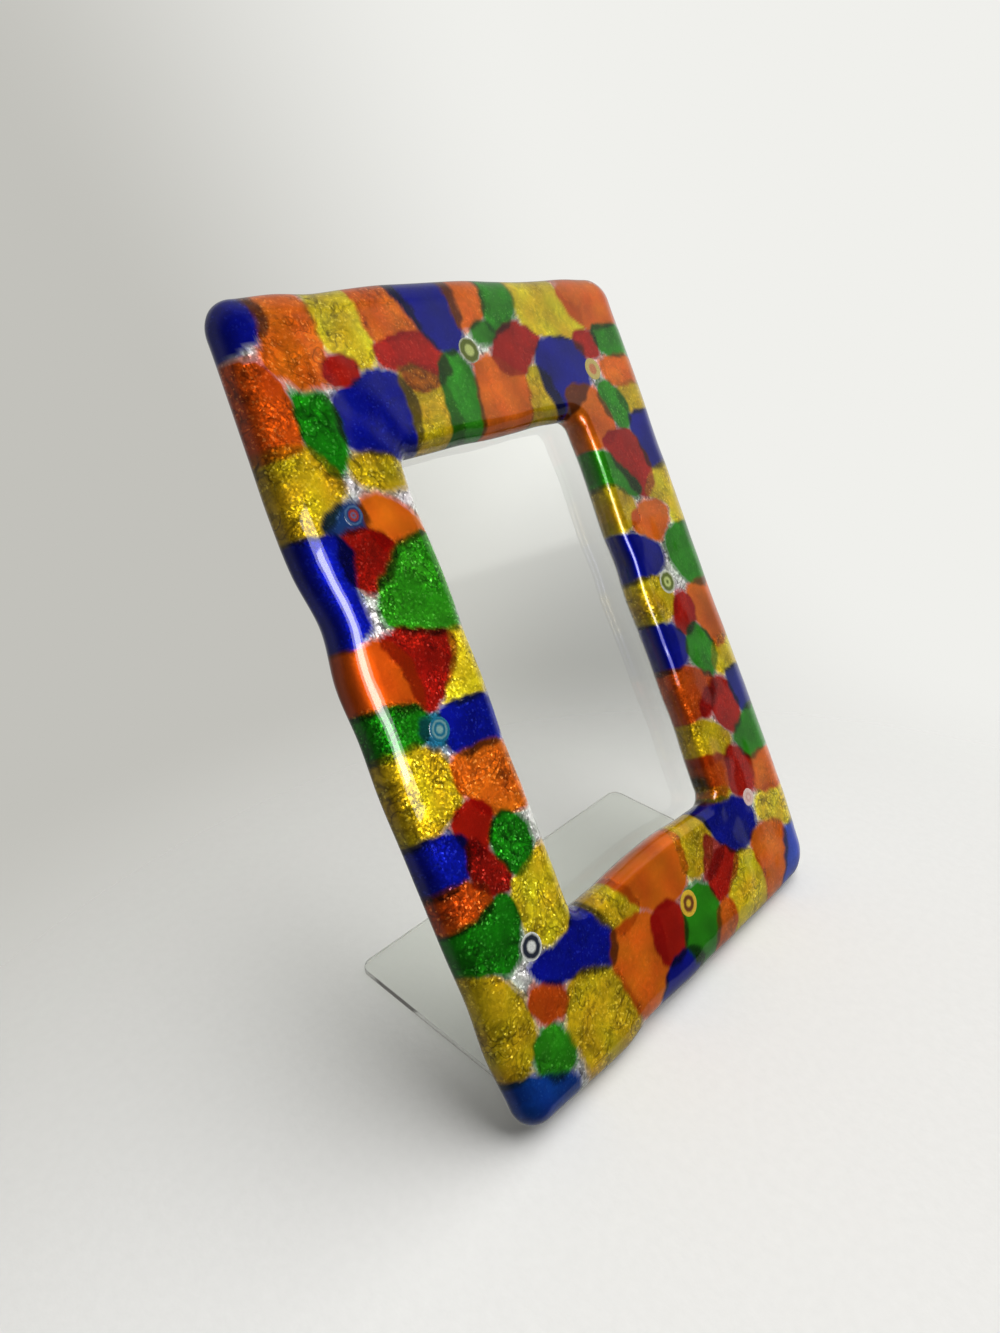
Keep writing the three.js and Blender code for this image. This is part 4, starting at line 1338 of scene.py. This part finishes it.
class GLASSFRAME_OT_strips(bpy.types.Operator):
    """Builds the clear adhesive strips that hold the glass and leave the slot for the print"""

    bl_idname = "glass_frame.strips"
    bl_label = "Adhesive Strips"

    def execute(self, context):
        material = see_through("clear_adhesive", "#F1F3F0", 0.12, 1.46, 0.1)
        to_face = face_matrix().inverted()
        for name in ("strip_left", "strip_right", "strip_bottom"):
            corners = np.array([to_face @ v.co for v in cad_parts[name].data.vertices])
            low, high = corners.min(0), corners.max(0)
            bm = bmesh.new()
            bmesh.ops.create_cube(bm, size=1)
            bmesh.ops.scale(bm, verts=bm.verts, vec=high - low)
            bmesh.ops.translate(bm, verts=bm.verts, vec=(high + low) / 2)
            uprights = [e for e in bm.edges if abs(e.verts[0].co.z - e.verts[1].co.z) > 1e-5]
            bmesh.ops.bevel(
                bm,
                geom=uprights,
                offset=STRIP_CORNER * MM,
                affect="EDGES",
                segments=6,
                profile=0.5,
                material=-1,
            )
            rims = [e for e in bm.edges if e.calc_face_angle(0) > SHARP]
            bmesh.ops.bevel(
                bm,
                geom=rims,
                offset=STRIP_RIM * MM,
                affect="EDGES",
                segments=2,
                profile=0.5,
                material=-1,
            )
            bmesh.ops.transform(bm, matrix=face_matrix(), verts=bm.verts)
            face_outwards(bm)
            piece = new_piece("adhesive_" + name, bm, material)
            smooth_round_flats(piece)
            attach(piece, "root")
            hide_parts(name)
        return {"FINISHED"}


def sky_direction(azimuth, elevation):
    """Unit vector towards an azimuth from +X and an elevation, both in degrees."""
    azimuth, elevation = math.radians(azimuth), math.radians(elevation)
    return Vector(
        (
            math.cos(azimuth) * math.cos(elevation),
            math.sin(azimuth) * math.cos(elevation),
            math.sin(elevation),
        )
    )


def area_light(name, towards, distance, size, power, aim):
    """A soft panel that stands in a direction from the object and faces it."""
    away = sky_direction(*towards)
    lamp = bpy.data.lights.new(name, "AREA")
    lamp.shape = "RECTANGLE"
    lamp.size, lamp.size_y = size
    lamp.energy = power
    holder = bpy.data.objects.new(name, lamp)
    holder.location = Vector(aim) + away * distance
    holder.rotation_euler = away.to_track_quat("Z", "Y").to_euler()
    bpy.context.scene.collection.objects.link(holder)
    return holder


def stand_camera(scene):
    """Stands the camera at the photograph's viewpoint."""
    camera = bpy.data.cameras.new("camera")
    camera.sensor_width = 36
    camera.lens = CAMERA_LENS
    camera.clip_start = 0.01
    holder = bpy.data.objects.new("camera", camera)
    yaw, pitch, roll = (math.radians(angle) for angle in CAMERA_TURN)
    forward = Vector((math.sin(yaw) * math.cos(pitch), math.cos(yaw) * math.cos(pitch), -math.sin(pitch)))
    right = Vector((math.cos(yaw), -math.sin(yaw), 0))
    up = right.cross(forward)
    tilted_right = math.cos(roll) * right + math.sin(roll) * up
    tilted_up = -math.sin(roll) * right + math.cos(roll) * up
    turn = Matrix((tilted_right, tilted_up, -forward)).transposed().to_4x4()
    holder.matrix_world = Matrix.Translation(Vector(CAMERA_PLACE) * MM) @ turn
    scene.collection.objects.link(holder)
    scene.camera = holder


def pale_board(tone_of_board):
    """Matt coated board, with a grain too fine to see but for a slight unevenness of tone."""
    material, tree = new_material("pale_floor")
    coords = object_coordinates(tree)
    grain = add_node(tree, "ShaderNodeTexNoise", {"Vector": coords, "Scale": 1 / (3 * MM), "Detail": 3.0})
    tone = add_node(
        tree, "ShaderNodeMapRange", {"Value": grain.outputs["Fac"], "To Min": 0.97, "To Max": 1.03}
    )
    toned = add_node(
        tree, "ShaderNodeVectorMath", {0: tone_of_board, "Scale": tone.outputs[0]}, operation="SCALE"
    )
    bump = add_node(
        tree, "ShaderNodeBump", {"Height": grain.outputs["Fac"], "Strength": 0.25, "Distance": 0.3 * MM}
    )
    shader = add_node(
        tree,
        "ShaderNodeBsdfPrincipled",
        {
            "Base Color": toned.outputs[0],
            "Roughness": 0.55,
            "Normal": bump.outputs["Normal"],
            "Specular IOR Level": 0.25,
        },
    )
    # It fades into the backdrop without a horizon, between 170 and 360 mm from the object
    outwards = add_node(tree, "ShaderNodeVectorMath", {0: coords, 1: (-0.05, -0.15, 0)}, operation="DISTANCE")
    gone = add_node(
        tree,
        "ShaderNodeMapRange",
        {"Value": outwards.outputs["Value"], "From Min": 0.17, "From Max": 0.36},
        interpolation_type="SMOOTHSTEP",
    )
    nothing = add_node(tree, "ShaderNodeBsdfTransparent")
    faded = add_node(
        tree, "ShaderNodeMixShader", {0: gone.outputs[0], 1: shader.outputs[0], 2: nothing.outputs[0]}
    )
    add_node(tree, "ShaderNodeOutputMaterial", {"Surface": faded.outputs[0]})
    return material


def lay_floor(settings):
    """Lays a round floor under the foot."""
    bm = bmesh.new()
    bmesh.ops.create_circle(bm, cap_ends=True, segments=96, radius=1.2)
    # A hair under the foot, so that the two faces never share a place
    bmesh.ops.translate(bm, verts=bm.verts, vec=(0, 0, -0.05 * MM))
    floor = new_piece("floor", bm, pale_board(tuple(settings.floor_colour)))
    # The glass mirrors the room and not the board under it
    floor.visible_glossy = False


def towards(tree, vector, start, end, low, high):
    """Rises from low to high as a direction of the world turns towards the vector."""
    direction = add_node(tree, "ShaderNodeTexCoord").outputs["Generated"]
    facing = add_node(tree, "ShaderNodeVectorMath", {0: direction, 1: tuple(vector)}, operation="DOT_PRODUCT")
    return add_node(
        tree,
        "ShaderNodeMapRange",
        {"Value": facing.outputs["Value"], "From Min": start, "From Max": end, "To Min": low, "To Max": high},
        interpolation_type="SMOOTHSTEP",
    ).outputs[0]


def light_room(scene, settings):
    """The world: a room that the glass mirrors, and a pale backdrop that the eye sees, with painted shade on
    its left and a painted reflection and painted shade through the clear sheet.
    """
    world = bpy.data.worlds.new("room")
    world.use_nodes = True
    world.node_tree.nodes.clear()
    tree = world.node_tree
    # A room whose bright side lies to the right of the object
    side = towards(tree, sky_direction(8, -4), 0.75, 0.96, 0, settings.bright_side)
    # It is dark in front of the object and has pale walls elsewhere
    room = towards(tree, sky_direction(-85, 14), 0, 0.7, settings.pale_walls, settings.dark_side)
    # A brighter wall, which the upper half of the face mirrors down to a level edge
    edge = sky_direction(-45, 23.2).cross(sky_direction(-35.7, 19)).normalized()
    above = towards(tree, edge, -0.01, 0.01, 0, settings.bright_wall)
    across = towards(tree, sky_direction(50, 0), -0.06, 0.06, 0, 1)
    below = towards(tree, Vector((0, 0, -1)), -0.85, -0.6, 0, 1)
    # A paler wall beyond the right border, down to the table
    corner = sky_direction(-35, 14).cross(sky_direction(-39.5, 3)).normalized()
    beyond = towards(tree, corner, -0.01, 0.02, 0, settings.right_wall)
    level = add_node(tree, "ShaderNodeMath", {0: above, 1: across}, operation="MULTIPLY")
    level = add_node(tree, "ShaderNodeMath", {0: level.outputs[0], 1: below}, operation="MULTIPLY")
    for other in (side, beyond, room):
        level = add_node(tree, "ShaderNodeMath", {0: level.outputs[0], 1: other}, operation="MAXIMUM")
    background = add_node(
        tree, "ShaderNodeBackground", {"Color": colour("#FBFBF8"), "Strength": level.outputs[0]}
    )
    # The eye sees a pale backdrop, darker on its left: painted shade in its colour
    backdrop_painted_light = towards(tree, sky_direction(-10, 25), 0.2, 0.62, 0, 1)
    paper = add_node(
        tree,
        "ShaderNodeMix",
        {"Factor": backdrop_painted_light, "A": colour("#C2C1BB"), "B": colour("#F0F0EC")},
        data_type="RGBA",
    )
    path = add_node(tree, "ShaderNodeLightPath")
    # Painted reflection: seen through the clear sheet, the backdrop is brightened where the sheet would
    # mirror the bright wall in its back face, through its front face
    in_front = towards(tree, Vector((0, -1, 0)), 0, 0.3, 0, 1)
    painted_reflection = add_node(tree, "ShaderNodeMath", {0: above, 1: in_front}, operation="MULTIPLY")
    # Painted shade: what lies behind the sheet is darker towards its right
    painted_sheet_shade = towards(tree, sky_direction(20, -30), 0.9, 0.985, 0.08, -settings.sheet_painted_shade)
    gain = add_node(
        tree,
        "ShaderNodeMath",
        {0: painted_reflection.outputs[0], 1: settings.sheet_painted_mirror, 2: painted_sheet_shade},
        operation="MULTIPLY_ADD",
    )
    strength = add_node(
        tree,
        "ShaderNodeMath",
        {0: gain.outputs[0], 1: path.outputs["Is Transmission Ray"], 2: 1.0},
        operation="MULTIPLY_ADD",
    )
    backdrop = add_node(
        tree, "ShaderNodeBackground", {"Color": paper.outputs["Result"], "Strength": strength.outputs[0]}
    )
    seen = add_node(
        tree,
        "ShaderNodeMath",
        {0: path.outputs["Is Camera Ray"], 1: path.outputs["Is Transmission Ray"]},
        operation="MAXIMUM",
    )
    mix = add_node(
        tree,
        "ShaderNodeMixShader",
        {0: seen.outputs[0], 1: background.outputs[0], 2: backdrop.outputs[0]},
    )
    add_node(tree, "ShaderNodeOutputWorld", {"Surface": mix.outputs[0]})
    scene.world = world


def hang_lamps(scene, settings):
    """A broad light from above, and two small panels that only the glass mirrors."""
    overhead = bpy.data.lights.new("overhead", "SUN")
    overhead.energy = settings.overhead
    overhead.angle = math.radians(70)
    holder = bpy.data.objects.new("overhead", overhead)
    holder.rotation_euler = sky_direction(-20, 58).to_track_quat("Z", "Y").to_euler()
    # It lights the object evenly and isn't mirrored in the glass
    holder.visible_glossy = False
    holder.visible_transmission = False
    scene.collection.objects.link(holder)
    # A small panel near the left border draws the white streaks on both borders, and a wider and
    # fainter one round it softens their edges
    for name, size, share in (("streak", (0.055, 0.12), 1.05), ("streak_glow", (0.11, 0.18), 0.9)):
        panel = area_light(name, (-80, 26), 0.25, size, share * settings.streak_light, (-0.073, 0.024, 0.126))
        panel.visible_diffuse = False
        panel.visible_transmission = False


class GLASSFRAME_OT_stage(bpy.types.Operator):
    """Sets the camera, a plain pale floor and soft studio light"""

    bl_idname = "glass_frame.stage"
    bl_label = "Stage"

    def execute(self, context):
        scene = context.scene
        settings = scene.glass_frame_stage
        scene.view_settings.view_transform = "Standard"
        stand_camera(scene)
        lay_floor(settings)
        light_room(scene, settings)
        hang_lamps(scene, settings)
        return {"FINISHED"}


class GLASSFRAME_PT_panel(bpy.types.Panel):
    """Lists the pieces of the glass frame"""

    bl_idname = "GLASSFRAME_PT_panel"
    bl_label = "Glass Frame"
    bl_space_type = "VIEW_3D"
    bl_region_type = "UI"
    bl_category = "Glass Frame"

    def draw(self, context):
        for settings in SETTINGS:
            group = getattr(context.scene, settings)
            box = self.layout.box()
            for name in group.__annotations__:
                box.prop(group, name)
        for operator in OPERATORS:
            self.layout.operator(operator.bl_idname)


SETTINGS = {
    "glass_frame_glass": GlassSettings,
    "glass_frame_murrina": MurrinaSettings,
    "glass_frame_easel": EaselSettings,
    "glass_frame_stage": StageSettings,
}
OPERATORS = [
    GLASSFRAME_OT_fused_glass,
    GLASSFRAME_OT_murrine,
    GLASSFRAME_OT_easel,
    GLASSFRAME_OT_strips,
    GLASSFRAME_OT_stage,
]


def register():
    for cls in [*SETTINGS.values(), *OPERATORS, GLASSFRAME_PT_panel]:
        bpy.utils.register_class(cls)
    for name, cls in SETTINGS.items():
        setattr(bpy.types.Scene, name, PointerProperty(type=cls))


def unregister():
    for name in SETTINGS:
        delattr(bpy.types.Scene, name)
    for cls in reversed([*SETTINGS.values(), *OPERATORS, GLASSFRAME_PT_panel]):
        bpy.utils.unregister_class(cls)


def main():
    register()
    bpy.ops.glass_frame.fused_glass()
    bpy.ops.glass_frame.murrine()
    bpy.ops.glass_frame.easel()
    bpy.ops.glass_frame.strips()
    bpy.ops.glass_frame.stage()


if __name__ == "__main__":
    main()
